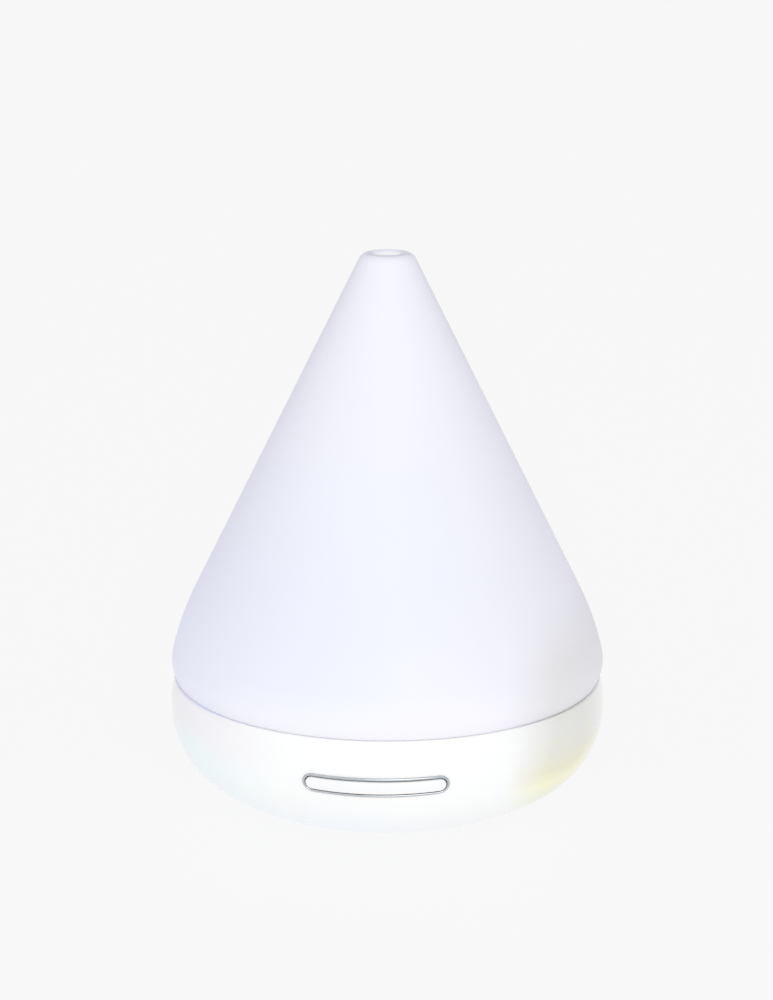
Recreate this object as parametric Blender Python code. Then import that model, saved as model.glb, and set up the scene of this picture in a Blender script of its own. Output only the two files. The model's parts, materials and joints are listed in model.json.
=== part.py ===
"""Essential oil diffuser: a frosted cone cover on a low bowl, with its tank, blower, transducer and key.

Lengths are in millimetres here and become metres when a mesh is made. +Z is up, the key faces -Y, and the
origin is on the table, under the middle of the bowl.
"""

import math

import bmesh
import bpy
from mathutils import Matrix, Vector

MM = 0.001
GAP = 0.3
MERGE_DISTANCE = 0.0001
SHARP_ANGLE = math.radians(32)

# How far a welded tool reaches into its neighbour, and how far a cutter runs past a surface.
BITE = 1.0
PAST = 1.0

# Bowl skin: a superellipse from the flat underside up to its widest ring, then a gentle roll to the rim.
BOWL_R = 84.0
BOWL_POWER = 2.46
BOWL_FLAT_R = 10.0
BOWL_Z = 2.0
BOWL_WALL = 2.4
EQUATOR_Z = 44.3
RIM_Z = 53.2
RIM_DROP = 1.5
RIM_INNER_R = 80.2
LEDGE_Z = 49.5
LEDGE_R = 76.2
LEDGE_T = 2.0
LEDGE_ROOT_R = 78.4
RIM_ROLL_H = 0.8
RIM_ROLL_R = 0.6

# Cover: hip, shoulder and cone, all tangent to each other.
COVER_TOP_Z = 217.5
COVER_EDGE_Z = 53.6
COVER_WALL = 2.2
COVER_SEAT_R = 80.0
COVER_SEAT_H = 3.4
HIP_R = 13.0
HIP_CENTRE = (70.52, 60.4)
HIP_ANGLE = math.radians(13.5)
SHOULDER_R = 112.0
CONE_ANGLE = math.radians(26.47)
TIP_FILLET_R = 3.9
TIP_INSIDE_FILLET_R = 1.6
OUTLET_R = 6.2

# Mist guide: chimney through the outlet, flaring into a funnel over the tank.
GUIDE_R = 5.9
GUIDE_BORE_R = 4.7
GUIDE_TOP_Z = 216.9
GUIDE_COLLAR_R = 7.5
GUIDE_COLLAR_H = 1.5
GUIDE_FLARE = ((6.4, 172.0), (8.2, 158.0), (14.0, 146.0))
GUIDE_FLARE_BORE = ((5.0, 172.0), (6.9, 157.4), (13.2, 144.8))
GUIDE_MOUTH_R = 30.0
GUIDE_MOUTH_Z = 136.0

# Tank.
FLANGE_R = 79.2
FLANGE_Z = 50.9
UPSTAND_Z = 57.0
UPSTAND_R = 77.4
TANK_LEAN = 0.2
TANK_WALL = 2.3
FLANGE_TOP_Z = 53.1
FLOOR_Z = 26.4
FLOOR_UNDER_Z = 24.0
BASIN_TOP_R = 52.5
BASIN_FOOT_R = 48.0
BASIN_CHAMFER_R = 1.8
BASIN_CHAMFER_H = 2.4
BASIN_LIP_R = 1.4
BASIN_LIP_H = 0.8
WELL_R = 12.5
WELL_Z = 23.0
WELL_UNDER_Z = 21.2
WELL_HOLE_R = 9.0
WELL_WALL = 2.2
WELL_CHAMFER = 1.0
RISER_X, RISER_Y = 0.0, 31.0
RISER_R = 9.4
RISER_BORE_R = 7.6
RISER_TOP_Z = 64.0
HOOD_Z = 53.4
HOOD_TOP_Z = 72.0
HOOD_WALL = 1.3
HOOD_ROOF = 1.6
HOOD_CHAMFER = 1.4
HOOD_WINDOW_LOW = (-7.0, 33.0, 64.4)
HOOD_WINDOW_HIGH = (7.0, 47.0, 69.4)
PROBE_X, PROBE_Y = -38.0, 8.0
PROBE_R = 1.5
PROBE_Z = 14.0
PROBE_L = 27.0
PROBE_HOLE_R = 2.9
GROMMET_BORE_R = 1.8
GROMMET_NECK_R = 2.6
GROMMET_R = 4.2
GROMMET_UNDER_H = 1.0
GROMMET_LIP_H = 1.2
GROMMET_TOP_H = 2.0

# Bottom cover, feet and its four screws.
PLATE_R = 48.2
PLATE_Z = 2.6
PLATE_TOP_Z = 5.2
PLATE_EDGE_Z = 7.8
PLATE_FLAT_R = 40.0
PLATE_RISE = ((42.0, 2.9), (45.4, 4.0), (48.2, 5.6))
PLATE_RIM_W = 2.2
PLATE_TOP_R = 42.4
OPENING_R = 48.5
OPENING_Z = 5.75
OPENING_LIP_R = 45.0
OPENING_LIP_H = 1.8
POST_R = 3.6
POST_PITCH_R = 38.0
POST_HOLE_R = 1.55
POST_HOLE_L = 11.0
POST_ANGLES = (30, 150, 210, 330)
COUNTERBORE_R = 3.1
COUNTERBORE_Z = 4.0
FOOT_R = 4.6
FOOT_H = 3.2
FOOT_CHAMFER = 0.6
FOOT_PITCH_R = 33.0
VENT_COUNT = 5
VENT_PITCH = 4.4
VENT_HALF_LENGTH = 10.0
VENT_HALF_WIDTH = 1.0

# Front key and its chrome bezel, wrapped round the bowl. Their ends bow upwards and taper a little.
KEY_Z = 36.0
KEY_WRAP_R = 83.5
SLOT_BOW = 0.8
SLOT_TAPER = 0.065
SLOT_INSET = 0.3
BEZEL_HALF_LENGTH = 27.1
BEZEL_HALF_HEIGHT = 3.8
BEZEL_WIDTH = 1.0
BEZEL_SLEEVE = 0.4
BEZEL_CREST = 0.7
BEZEL_CHAMFER = 0.2
BEZEL_DEPTH = 3.2
KEY_LIFT = 1.2
KEY_THICKNESS = 2.4
KEY_PIVOT = (0.0, -77.4, KEY_Z)
KEY_BOSS_R = 2.2
KEY_WEB_HALF_WIDTH = 1.2
KEY_ROOT = 0.4
LEG_X = 17.0
LEG_TIP_Y = -75.0
LEG_HALF_WIDTH = 1.0
LEG_HALF_HEIGHT = 1.2
PIN_R = 0.9
PIN_L = 10.4
PIN_HOLE_R = 1.25

# Bracket that holds the key's pin, in front of the button board.
BRACKET_T = 1.2
BRACKET_BACK = 2.5
BRACKET_HALF_WIDTH = 4.0
BRACKET_HALF_INSIDE = 3.6
BRACKET_ARM_HALF_WIDTH = 3.0
BRACKET_NOSE = 1.6
BRACKET_STEM = 2.5

# Button board and its switches.
BOARD_T = 1.6
BUTTON_BOARD_Y = -69.0
BUTTON_BOARD_HALF_WIDTH = 24.0
BUTTON_BOARD_LOW_Z, BUTTON_BOARD_HIGH_Z = 26.0, 41.0
BUTTON_POST_X, BUTTON_POST_Z = 18.0, 29.0
BUTTON_POST_R = 2.2
BUTTON_POST_INSET = 1.6
BUTTON_HOLE_R = 1.4
BUTTON_HOLE_L = 4.5
SWITCH_SIZE = 6.0
SWITCH_DEPTH = 3.6
SWITCH_WELL = 2.0
PLUNGER_R = 1.7
PLUNGER_L = 2.9
PLUNGER_PLAY = 0.45

# Transducer clamped under the tank's well.
DISC_R = 10.1
DISC_Z = 18.5
DISC_TOP_Z = 19.7
DISC_DISH_R = 8.0
DISC_DISH_H = 0.3
SEAL_R = 11.7
SEAL_LIP_R = 8.4
RING_R = 16.8
RING_BORE_R = 7.5
RING_Z = 15.6
RING_TOP_Z = 17.0
RING_SCREW_COUNT = 3
RING_SCREW_START = 90
RING_SCREW_R = 14.2
RING_HOLE_R = 1.3
BOSS_R = 2.2
BOSS_HOLE_R = 1.2
BOSS_HOLE_TOP_Z = 21.6

# Lamp ring.
LED_BOARD_Z = 44.0
LED_BOARD_R = 72.0
LED_BOARD_BORE_R = 61.0
LED_BOARD_T = 1.4
LED_PITCH_R = 67.0
LED_COUNT = 6
LED_FOOT_R = 2.4
LED_FOOT_H = 0.8
LED_DOME = ((1.7, 0.8), (1.1, 2.4), (0.0, 2.9))
LED_PEG_COUNT = 3
LED_PEG_START = 30
LED_PEG_PITCH_R = 63.6
LED_PEG_R = 1.4
LED_PEG_Z = 42.6

# Main board.
MAIN_BOARD_LOW = (-22.5, -47.0, 11.0)
MAIN_BOARD_HIGH = (22.5, -18.0, 12.6)
MAIN_SCREW_X, MAIN_SCREW_Y = 18.5, -21.5
MAIN_HOLE_R = 1.5
MAIN_BOSS_R = 2.3
MAIN_BOSS_HOLE_R = 1.3
MAIN_BOSS_HOLE_L = 3.5
MAIN_REST_Y = -38.0
HEATSINK_PLACE = (-20.5, -46.0)
HEATSINK_L, HEATSINK_W, HEATSINK_H = 13.2, 8.0, 8.6
HEATSINK_BACK = 2.0
FIN_COUNT = 4
FIN_PITCH = 3.0
FIN_SLOT = 1.8
TRANSISTOR_LOW, TRANSISTOR_HIGH = (-17.5, -37.2), (-8.5, -34.4)
TRANSISTOR_H = 8.4
CHIP_LOW, CHIP_HIGH = (-12.0, -30.0), (-4.0, -24.0)
CHIP_H = 1.6
INDUCTOR_PLACE = (12.0, -40.0, 0.0)
INDUCTOR_R, INDUCTOR_CORE_R = 5.0, 3.6
INDUCTOR_FLANGE, INDUCTOR_SLOPE, INDUCTOR_H = 1.2, 0.6, 7.0
CAPACITOR_PLACE = (8.0, -29.0, 0.0)
CAPACITOR_R, CAPACITOR_H = 3.1, 9.0
CAPACITOR_ROLL_R, CAPACITOR_ROLL_H = 0.5, 0.4

# Blower.
FAN_X, FAN_Y = RISER_X, RISER_Y
FAN_SIZE = 25.0
FAN_Z = 10.2
FAN_H = 7.0
FAN_FLOOR = 1.4
FAN_BORE_R = 11.3
FAN_WINDOW_COUNT = 4
FAN_WINDOW_HALF = math.radians(38)
FAN_WINDOW_EDGE = 0.6
FAN_BEARING_R = 1.35
FAN_HOLE_PITCH = 10.0
FAN_HOLE_R = 1.5
FAN_BOSS_R = 2.4
FAN_BOSS_HOLE_R = 1.4
FAN_BOSS_HOLE_L = 2.9
FAN_HUB_R = 5.3
FAN_HUB_H = 4.8
FAN_SHAFT_R = 1.0
FAN_SHAFT_DROP = 1.4
FAN_BLADES = 7
BLADE_ROOT_R = 5.0
BLADE_TIP_R = 10.4
BLADE_H = 4.4
BLADE_TWIST = math.radians(22)
BLADE_TURNS = (0.0, 0.24, 0.38, 0.22)
DUCT_FOOT_R = 11.8
DUCT_FOOT_BORE_R = 10.6
DUCT_TOP_R = 9.4
DUCT_TOP_BORE_R = 8.0
DUCT_FOOT_H = 1.6
DUCT_TOP_H = 1.4

# Power inlet at the rear.
JACK_Z = 30.0
JACK_HALF = 5.0
JACK_FRONT_Y, JACK_BACK_Y = 61.5, 73.5
JACK_NOSE_Y = 79.3
JACK_NOSE_R = 4.6
JACK_BORE_R = 3.2
JACK_BORE_L = 10.0
JACK_PIN_R = 1.0
JACK_PIN_L = 5.0
SHELF_HALF_WIDTH = 6.0
SHELF_FRONT_Y = 63.0
SHELF_T = 2.0
SHELF_INSET = 1.4

# Screws: head radius, head height, shank radius and shank length.
CASE_SCREW = (2.7, 1.0, 1.25, 11.0)
BUTTON_SCREW = (2.1, 1.3, 1.05, 5.6)
RING_SCREW = (1.9, 1.2, 0.9, 5.4)
MAIN_SCREW = (2.2, 1.4, 1.0, 5.0)
FAN_SCREW = (1.9, 1.2, 1.0, 9.6)
SCREW_CROWN = 0.72

# Leads.
LEAD_R = 0.7
INLET_LEAD_R = 0.8
LEAD_STEPS = 3

FRONT = Vector((0, -1, 0))
BACK = Vector((0, 1, 0))
UP = Vector((0, 0, 1))
DOWN = Vector((0, 0, -1))

# Steps round a circle, and how much a curve's points crowd towards its first end.
COARSE = 8
MEDIUM = 16
FINE = 36
CROWDING = 1.6


# ---------------------------------------------------------------- making objects


def clear_scene():
    for old in list(bpy.data.objects):
        bpy.data.objects.remove(old)


def look(name, colour, roughness, metallic=0.0):
    """One Principled material."""
    made = bpy.data.materials.new(name)
    made.use_nodes = True
    shader = made.node_tree.nodes["Principled BSDF"]
    shader.inputs["Base Color"].default_value = (*colour, 1.0)
    shader.inputs["Roughness"].default_value = roughness
    shader.inputs["Metallic"].default_value = metallic
    made.diffuse_color = (*colour, 1.0)
    return made


def finish(name, mesh_in_mm, colour, place=(0, 0, 0), direction=UP):
    """Turns a bmesh in millimetres into a named object, its own +Z laid along direction, at place."""
    bmesh.ops.remove_doubles(mesh_in_mm, verts=mesh_in_mm.verts, dist=MERGE_DISTANCE)
    bmesh.ops.recalc_face_normals(mesh_in_mm, faces=mesh_in_mm.faces)
    bmesh.ops.scale(mesh_in_mm, vec=(MM, MM, MM), verts=mesh_in_mm.verts)
    mesh = bpy.data.meshes.new(name)
    mesh_in_mm.to_mesh(mesh)
    mesh_in_mm.free()
    mesh.shade_smooth()
    mesh.set_sharp_from_angle(angle=SHARP_ANGLE)
    if colour:
        mesh.materials.append(colour)
    made = bpy.data.objects.new(name, mesh)
    bpy.context.scene.collection.objects.link(made)
    made.location = Vector(place) * MM
    made.rotation_euler = UP.rotation_difference(Vector(direction)).to_euler()
    return made


def turned(name, outline, colour, steps=MEDIUM, place=(0, 0, 0), direction=UP):
    """A body of revolution from (radius, height) points. An outline that starts and ends on the axis is
    left open there; any other outline is closed."""
    bm = bmesh.new()
    points = [bm.verts.new((r, 0, z)) for r, z in outline]
    edges = [bm.edges.new(pair) for pair in zip(points, points[1:])]
    if outline[0][0] > 0 or outline[-1][0] > 0:
        edges.append(bm.edges.new((points[-1], points[0])))
    bmesh.ops.spin(
        bm, geom=points + edges, cent=(0, 0, 0), axis=(0, 0, 1), dvec=(0, 0, 0),
        angle=math.tau, steps=steps, use_merge=True,
    )
    return finish(name, bm, colour, place, direction)


def rod(name, radius, length, colour, place, direction=UP, steps=COARSE):
    """A round bar from place, along direction."""
    outline = [(0, 0), (radius, 0), (radius, length), (0, length)]
    return turned(name, outline, colour, steps, place, direction)


def ring(name, bore, radius, low, high, colour, steps=MEDIUM, place=(0, 0, 0)):
    """A flat washer between two heights."""
    return turned(name, [(bore, low), (radius, low), (radius, high), (bore, high)], colour, steps, place)


def block(name, low, high, colour):
    """A rectangular block between two corners."""
    low = Vector(low)
    high = Vector(high)
    bm = bmesh.new()
    bmesh.ops.create_cube(bm, size=1.0)
    bmesh.ops.scale(bm, vec=high - low, verts=bm.verts)
    return finish(name, bm, colour, (low + high) / 2)


def prism(name, outline, low, high, colour, place=(0, 0, 0), direction=UP, twist=0.0):
    """A flat (x, y) outline extruded from low to high, its top turned by twist."""
    bm = bmesh.new()
    turn = Matrix.Rotation(twist, 2)
    under = [bm.verts.new((x, y, low)) for x, y in outline]
    over = [bm.verts.new((*(turn @ Vector((x, y))), high)) for x, y in outline]
    bm.faces.new(under)
    bm.faces.new(over)
    count = len(outline)
    for i in range(count):
        j = (i + 1) % count
        bm.faces.new((under[i], under[j], over[j], over[i]))
    return finish(name, bm, colour, place, direction)


def screw(name, place, direction, size, colour):
    """A pan-head screw: place is under the head, and the shank runs along direction."""
    head_r, head_h, shank_r, shank_l = size
    crown = head_r * SCREW_CROWN
    outline = [(0, -head_h), (crown, -head_h), (head_r, 0), (shank_r, 0), (shank_r, shank_l), (0, shank_l)]
    return turned(name, outline, colour, COARSE, place, direction)


def lead(name, route, radius, colour):
    """A thin wire on a smooth curve through the route's points."""
    points = [Vector(p) for p in route]
    ends = [2 * points[0] - points[1]] + points + [2 * points[-1] - points[-2]]
    smooth = []
    for i in range(1, len(ends) - 2):
        for k in range(LEAD_STEPS):
            smooth.append(catmull_rom(ends[i - 1:i + 3], k / LEAD_STEPS))
    smooth.append(points[-1])
    curve = bpy.data.curves.new(name, "CURVE")
    curve.dimensions = "3D"
    curve.bevel_depth = radius * MM
    curve.bevel_resolution = 1
    curve.use_fill_caps = True
    spline = curve.splines.new("POLY")
    spline.points.add(len(smooth) - 1)
    for point, where in zip(spline.points, smooth):
        point.co = (*(where * MM), 1.0)
    curve.materials.append(colour)
    made = bpy.data.objects.new(name, curve)
    bpy.context.scene.collection.objects.link(made)
    return made


def catmull_rom(four, t):
    """A point on the smooth curve between the middle two of four points."""
    a, b, c, d = four
    return 0.5 * (2 * b + (c - a) * t + (2 * a - 5 * b + 4 * c - d) * t ** 2
                  + (3 * b - a - 3 * c + d) * t ** 3)


def combine(target, tool, operation):
    """A Boolean modifier with a hidden tool."""
    step = target.modifiers.new(f"{operation.lower()} {tool.name}", "BOOLEAN")
    step.operation = operation
    step.solver = "EXACT"
    step.object = tool
    tool.hide_render = True
    tool.display_type = "WIRE"


def cut(target, *tools):
    for tool in tools:
        combine(target, tool, "DIFFERENCE")


def weld(target, *tools):
    for tool in tools:
        combine(target, tool, "UNION")


def move_origin(made, point):
    """Puts an object's origin at a point and leaves its surface where it is."""
    shift = Vector(point) * MM
    made.data.transform(Matrix.Translation(made.location - shift))
    made.location = shift


def on_circle(radius, angles):
    """(x, y) of points on a circle, at angles in degrees from +X."""
    return [(radius * math.cos(math.radians(a)), radius * math.sin(math.radians(a))) for a in angles]


def around(count, radius, start=0):
    """(x, y) of points evenly round a circle, from a start angle in degrees."""
    return on_circle(radius, [start + 360 * i / count for i in range(count)])


# ---------------------------------------------------------------- shared curves


def bowl_radius(z, inset=0.0):
    """The bowl skin's radius at a height, inset from its outer face."""
    if z > EQUATOR_Z:
        return BOWL_R - inset - RIM_DROP * ((z - EQUATOR_Z) / (RIM_Z - EQUATOR_Z)) ** 2
    fall = (EQUATOR_Z - z) / (EQUATOR_Z - BOWL_Z - inset)
    return BOWL_FLAT_R + (BOWL_R - inset - BOWL_FLAT_R) * (1 - fall ** BOWL_POWER) ** (1 / BOWL_POWER)


def bowl_curve(low, high, inset, steps):
    """Points up the bowl from one height to another, closer together where it bends more."""
    points = []
    for i in range(steps + 1):
        z = low + (high - low) * (i / steps) ** CROWDING
        points.append((bowl_radius(z, inset), z))
    return points


def arc(centre, radius, start, end, steps):
    """Points on an arc, its angles measured from +radius towards +height."""
    points = []
    for i in range(steps + 1):
        angle = start + (end - start) * i / steps
        points.append((centre[0] + radius * math.cos(angle), centre[1] + radius * math.sin(angle)))
    return points


def cover_curve(inset, start_z, top_z, fillet, steps):
    """Points up the cover: hip arc, shoulder arc, straight cone, and a fillet into the flat tip."""
    hip = HIP_R - inset
    start = math.asin((start_z - HIP_CENTRE[1]) / hip)
    points = arc(HIP_CENTRE, hip, start, HIP_ANGLE, 3)
    reach = SHOULDER_R - HIP_R
    centre = (HIP_CENTRE[0] - reach * math.cos(HIP_ANGLE), HIP_CENTRE[1] - reach * math.sin(HIP_ANGLE))
    points += arc(centre, SHOULDER_R - inset, HIP_ANGLE, CONE_ANGLE, steps)[1:]
    radius, z = points[-1]
    tip_r = radius - (top_z - z) * math.tan(CONE_ANGLE)
    along = tip_r * math.cos(CONE_ANGLE) + top_z * math.sin(CONE_ANGLE)
    fillet_r = (along - fillet - (top_z - fillet) * math.sin(CONE_ANGLE)) / math.cos(CONE_ANGLE)
    points += arc((fillet_r, top_z - fillet), fillet, CONE_ANGLE, math.pi / 2, 2)
    return points


def on_bowl(along, above, lift):
    """A point over the bowl's front: along its width, above the key's centre line, lifted off its skin."""
    outward = (along / BEZEL_HALF_LENGTH) ** 2
    z = KEY_Z + above * (1 - SLOT_TAPER * outward) + SLOT_BOW * outward
    angle = along / KEY_WRAP_R
    radius = bowl_radius(z) + lift
    return (radius * math.sin(angle), -radius * math.cos(angle), z)


def slot_outline(inset, straight_steps=8, end_steps=6):
    """A slot with round ends in (along, above), inset from the bezel's outer edge."""
    half = BEZEL_HALF_LENGTH - BEZEL_HALF_HEIGHT
    radius = BEZEL_HALF_HEIGHT - inset
    outline = []
    for side in (1, -1):
        for i in range(straight_steps):
            outline.append((side * half * (2 * i / straight_steps - 1), -side * radius))
        for i in range(end_steps):
            angle = -side * math.pi / 2 + math.pi * i / end_steps
            outline.append((side * half + radius * math.cos(angle), radius * math.sin(angle)))
    return outline


def wrapped_ring(name, section, colour):
    """A frame that follows the slot round the bowl; its section is a list of (inset, lift)."""
    bm = bmesh.new()
    loops = []
    for inset, lift in section:
        loops.append([bm.verts.new(on_bowl(u, v, lift)) for u, v in slot_outline(inset)])
    for a, b in zip(loops, loops[1:] + loops[:1]):
        for i in range(len(a)):
            j = (i + 1) % len(a)
            bm.faces.new((a[i], a[j], b[j], b[i]))
    return finish(name, bm, colour)


def wrapped_plate(name, inset, low, high, colour):
    """A plate with round ends, wrapped round the bowl between two lifts."""
    outline = slot_outline(inset)
    columns = sorted({round(u, 4) for u, v in outline})
    half = BEZEL_HALF_LENGTH - BEZEL_HALF_HEIGHT
    radius = BEZEL_HALF_HEIGHT - inset
    bm = bmesh.new()
    rows = []
    for u in columns:
        past = max(abs(u) - half, 0)
        v = math.sqrt(max(radius ** 2 - past ** 2, 0))
        rows.append([bm.verts.new(on_bowl(u, side * v, lift)) for lift in (low, high) for side in (-1, 1)])
    for a, b in zip(rows, rows[1:]):
        for i, j in ((0, 1), (1, 3), (3, 2), (2, 0)):
            bm.faces.new((a[i], a[j], b[j], b[i]))
    return finish(name, bm, colour)


# ---------------------------------------------------------------- cover


def make_cover(frosted, clear):
    outer = cover_curve(0.0, COVER_EDGE_Z, COVER_TOP_Z, TIP_FILLET_R, 4)
    inner = cover_curve(COVER_WALL, COVER_EDGE_Z + COVER_SEAT_H, COVER_TOP_Z - COVER_WALL,
                        TIP_INSIDE_FILLET_R, 3)
    outline = outer + [(OUTLET_R, COVER_TOP_Z), (OUTLET_R, COVER_TOP_Z - COVER_WALL)] + inner[::-1]
    outline.append((COVER_SEAT_R, COVER_EDGE_Z))
    cover = turned("outer_cover", outline, frosted, FINE)

    collar_z = COVER_TOP_Z - COVER_WALL - GAP
    wall = GUIDE_R - GUIDE_BORE_R
    collar_low = collar_z - GUIDE_COLLAR_H
    outline = [
        (GUIDE_R, GUIDE_TOP_Z), (GUIDE_R, collar_z), (GUIDE_COLLAR_R, collar_z), (GUIDE_COLLAR_R, collar_low),
        (GUIDE_FLARE[0][0], collar_low), *GUIDE_FLARE, (GUIDE_MOUTH_R, GUIDE_MOUTH_Z),
        (GUIDE_MOUTH_R, GUIDE_MOUTH_Z - wall), *reversed(GUIDE_FLARE_BORE), (GUIDE_BORE_R, GUIDE_TOP_Z),
    ]
    guide = turned("mist_guide", outline, clear, MEDIUM)

    handle = bpy.data.objects.new("cover", None)
    bpy.context.scene.collection.objects.link(handle)
    handle.location = (0, 0, COVER_EDGE_Z * MM)
    for piece in (cover, guide):
        piece.parent = handle
        piece.location = (0, 0, -COVER_EDGE_Z * MM)


# ---------------------------------------------------------------- base shell, bezel and key


def make_base_shell(gloss):
    flange_z = PLATE_EDGE_Z + GAP
    flange_top = flange_z + OPENING_LIP_H
    rim_r = bowl_radius(RIM_Z)
    outline = bowl_curve(OPENING_Z, RIM_Z - RIM_ROLL_H, 0.0, 9)
    outline[0] = (OPENING_R, OPENING_Z)
    outline += [
        (rim_r - RIM_ROLL_R, RIM_Z), (RIM_INNER_R, RIM_Z), (RIM_INNER_R, LEDGE_Z), (LEDGE_R, LEDGE_Z),
        (LEDGE_R, LEDGE_Z - LEDGE_T), (LEDGE_ROOT_R, LEDGE_Z - LEDGE_T),
    ]
    outline += bowl_curve(flange_top, EQUATOR_Z, BOWL_WALL, 4)[::-1]
    outline += [(OPENING_LIP_R, flange_top), (OPENING_LIP_R, flange_z), (OPENING_R, flange_z)]
    shell = turned("base_shell", outline, gloss, FINE)

    post_root = bowl_radius(BUTTON_POST_Z, BUTTON_POST_INSET)
    post_end = -math.sqrt(post_root ** 2 - BUTTON_POST_X ** 2)
    board = BUTTON_BOARD_Y - GAP
    for side in (-1, 1):
        x = side * BUTTON_POST_X
        post = rod(f"tool_button_post{side}", BUTTON_POST_R, board - post_end, None,
                   (x, post_end, BUTTON_POST_Z), BACK)
        hole = rod(f"tool_button_hole{side}", BUTTON_HOLE_R, BUTTON_HOLE_L + PAST, None,
                   (x, board - BUTTON_HOLE_L, BUTTON_POST_Z), BACK)
        weld(shell, post)
        cut(shell, hole)

    shelf_z = JACK_Z - JACK_HALF - GAP
    shelf = block("tool_jack_shelf", (-SHELF_HALF_WIDTH, SHELF_FRONT_Y, shelf_z - SHELF_T),
                  (SHELF_HALF_WIDTH, bowl_radius(shelf_z) - SHELF_INSET, shelf_z), None)
    weld(shell, shelf)
    nose_hole = rod("tool_jack_hole", JACK_NOSE_R + GAP + 0.1, BOWL_R - JACK_BACK_Y + PAST, None,
                    (0, JACK_BACK_Y, JACK_Z), BACK, MEDIUM)
    cut(shell, nose_hole)
    cut(shell, wrapped_plate("tool_key_slot", SLOT_INSET, -2 * BOWL_WALL, BOWL_WALL, None))
    return shell


def make_bezel_and_key(chrome, white, steel):
    sleeve = BEZEL_WIDTH - BEZEL_SLEEVE
    section = [
        (0.0, GAP), (BEZEL_CHAMFER, BEZEL_CREST), (BEZEL_WIDTH - BEZEL_CHAMFER, BEZEL_CREST),
        (BEZEL_WIDTH, BEZEL_CREST - BEZEL_CHAMFER), (BEZEL_WIDTH, -BEZEL_DEPTH), (sleeve, -BEZEL_DEPTH),
        (sleeve, GAP),
    ]
    wrapped_ring("bezel", section, chrome)

    inset = BEZEL_WIDTH + GAP
    back = KEY_LIFT - KEY_THICKNESS
    root = KEY_WRAP_R + back + KEY_ROOT
    key = wrapped_plate("key", inset, back, KEY_LIFT, white)
    half = BEZEL_HALF_HEIGHT - inset
    web_half = half - BEZEL_CHAMFER
    x, y, z = KEY_PIVOT
    web = block("tool_key_web", (-KEY_WEB_HALF_WIDTH, -root, z - web_half),
                (KEY_WEB_HALF_WIDTH, y, z + web_half), None)
    weld(key, web)
    weld(key, rod("tool_key_boss", KEY_BOSS_R, 2 * half, None, (x, y, z - half), UP, MEDIUM))
    cut(key, rod("tool_key_bore", PIN_HOLE_R, 2 * (half + PAST), None, (x, y, z - half - PAST), UP, MEDIUM))
    leg_root = -math.sqrt(root ** 2 - LEG_X ** 2)
    for side in (-1, 1):
        middle = side * LEG_X
        leg = block(f"tool_key_leg{side}", (middle - LEG_HALF_WIDTH, leg_root, z - LEG_HALF_HEIGHT),
                    (middle + LEG_HALF_WIDTH, LEG_TIP_Y, z + LEG_HALF_HEIGHT), None)
        weld(key, leg)
    move_origin(key, KEY_PIVOT)

    rod("key_pin", PIN_R, PIN_L, steel, (x, y, z - PIN_L / 2), UP, MEDIUM)


def make_key_bracket(white):
    x, y, z = KEY_PIVOT
    back = y + BRACKET_BACK
    join = back + BRACKET_T / 2
    reach = BRACKET_HALF_INSIDE + BRACKET_T
    bracket = block("key_bracket", (-BRACKET_HALF_WIDTH, back, z - reach),
                    (BRACKET_HALF_WIDTH, back + BRACKET_T, z + reach), white)
    for side, low in ((-1, z - reach), (1, z + BRACKET_HALF_INSIDE)):
        arm = block(f"tool_bracket_arm{side}", (-BRACKET_ARM_HALF_WIDTH, y - BRACKET_NOSE, low),
                    (BRACKET_ARM_HALF_WIDTH, join, low + BRACKET_T), None)
        weld(bracket, arm)
        hole = rod(f"tool_bracket_hole{side}", PIN_HOLE_R, BRACKET_T + 2 * PAST, None, (x, y, low - PAST),
                   UP, MEDIUM)
        cut(bracket, hole)
    stem = block("tool_bracket_stem", (-BRACKET_STEM, join, z - BRACKET_STEM),
                 (BRACKET_STEM, BUTTON_BOARD_Y - GAP, z + BRACKET_STEM), None)
    weld(bracket, stem)


def make_button_board(green, black, white, steel):
    back = BUTTON_BOARD_Y + BOARD_T
    board = block("button_board", (-BUTTON_BOARD_HALF_WIDTH, BUTTON_BOARD_Y, BUTTON_BOARD_LOW_Z),
                  (BUTTON_BOARD_HALF_WIDTH, back, BUTTON_BOARD_HIGH_Z), green)
    half = SWITCH_SIZE / 2
    face = BUTTON_BOARD_Y - GAP
    front = face - SWITCH_DEPTH
    for side, word in ((-1, "left"), (1, "right")):
        x = side * BUTTON_POST_X
        hole = rod(f"tool_board_hole{side}", BUTTON_HOLE_R, BOARD_T + 2 * PAST, None,
                   (x, BUTTON_BOARD_Y - PAST, BUTTON_POST_Z), BACK)
        cut(board, hole)
        screw(f"button_screw_{word}", (x, back + GAP, BUTTON_POST_Z), FRONT, BUTTON_SCREW, steel)
        x = side * LEG_X
        body = block(f"switch_{word}", (x - half, front, KEY_Z - half), (x + half, face, KEY_Z + half), black)
        well = rod(f"tool_switch_well{side}", PLUNGER_R + GAP, SWITCH_WELL + PAST, None,
                   (x, front - PAST, KEY_Z), BACK)
        cut(body, well)
        rod(f"plunger_{word}", PLUNGER_R, PLUNGER_L, white, (x, LEG_TIP_Y + PLUNGER_PLAY, KEY_Z), BACK)


# ---------------------------------------------------------------- tank


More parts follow.
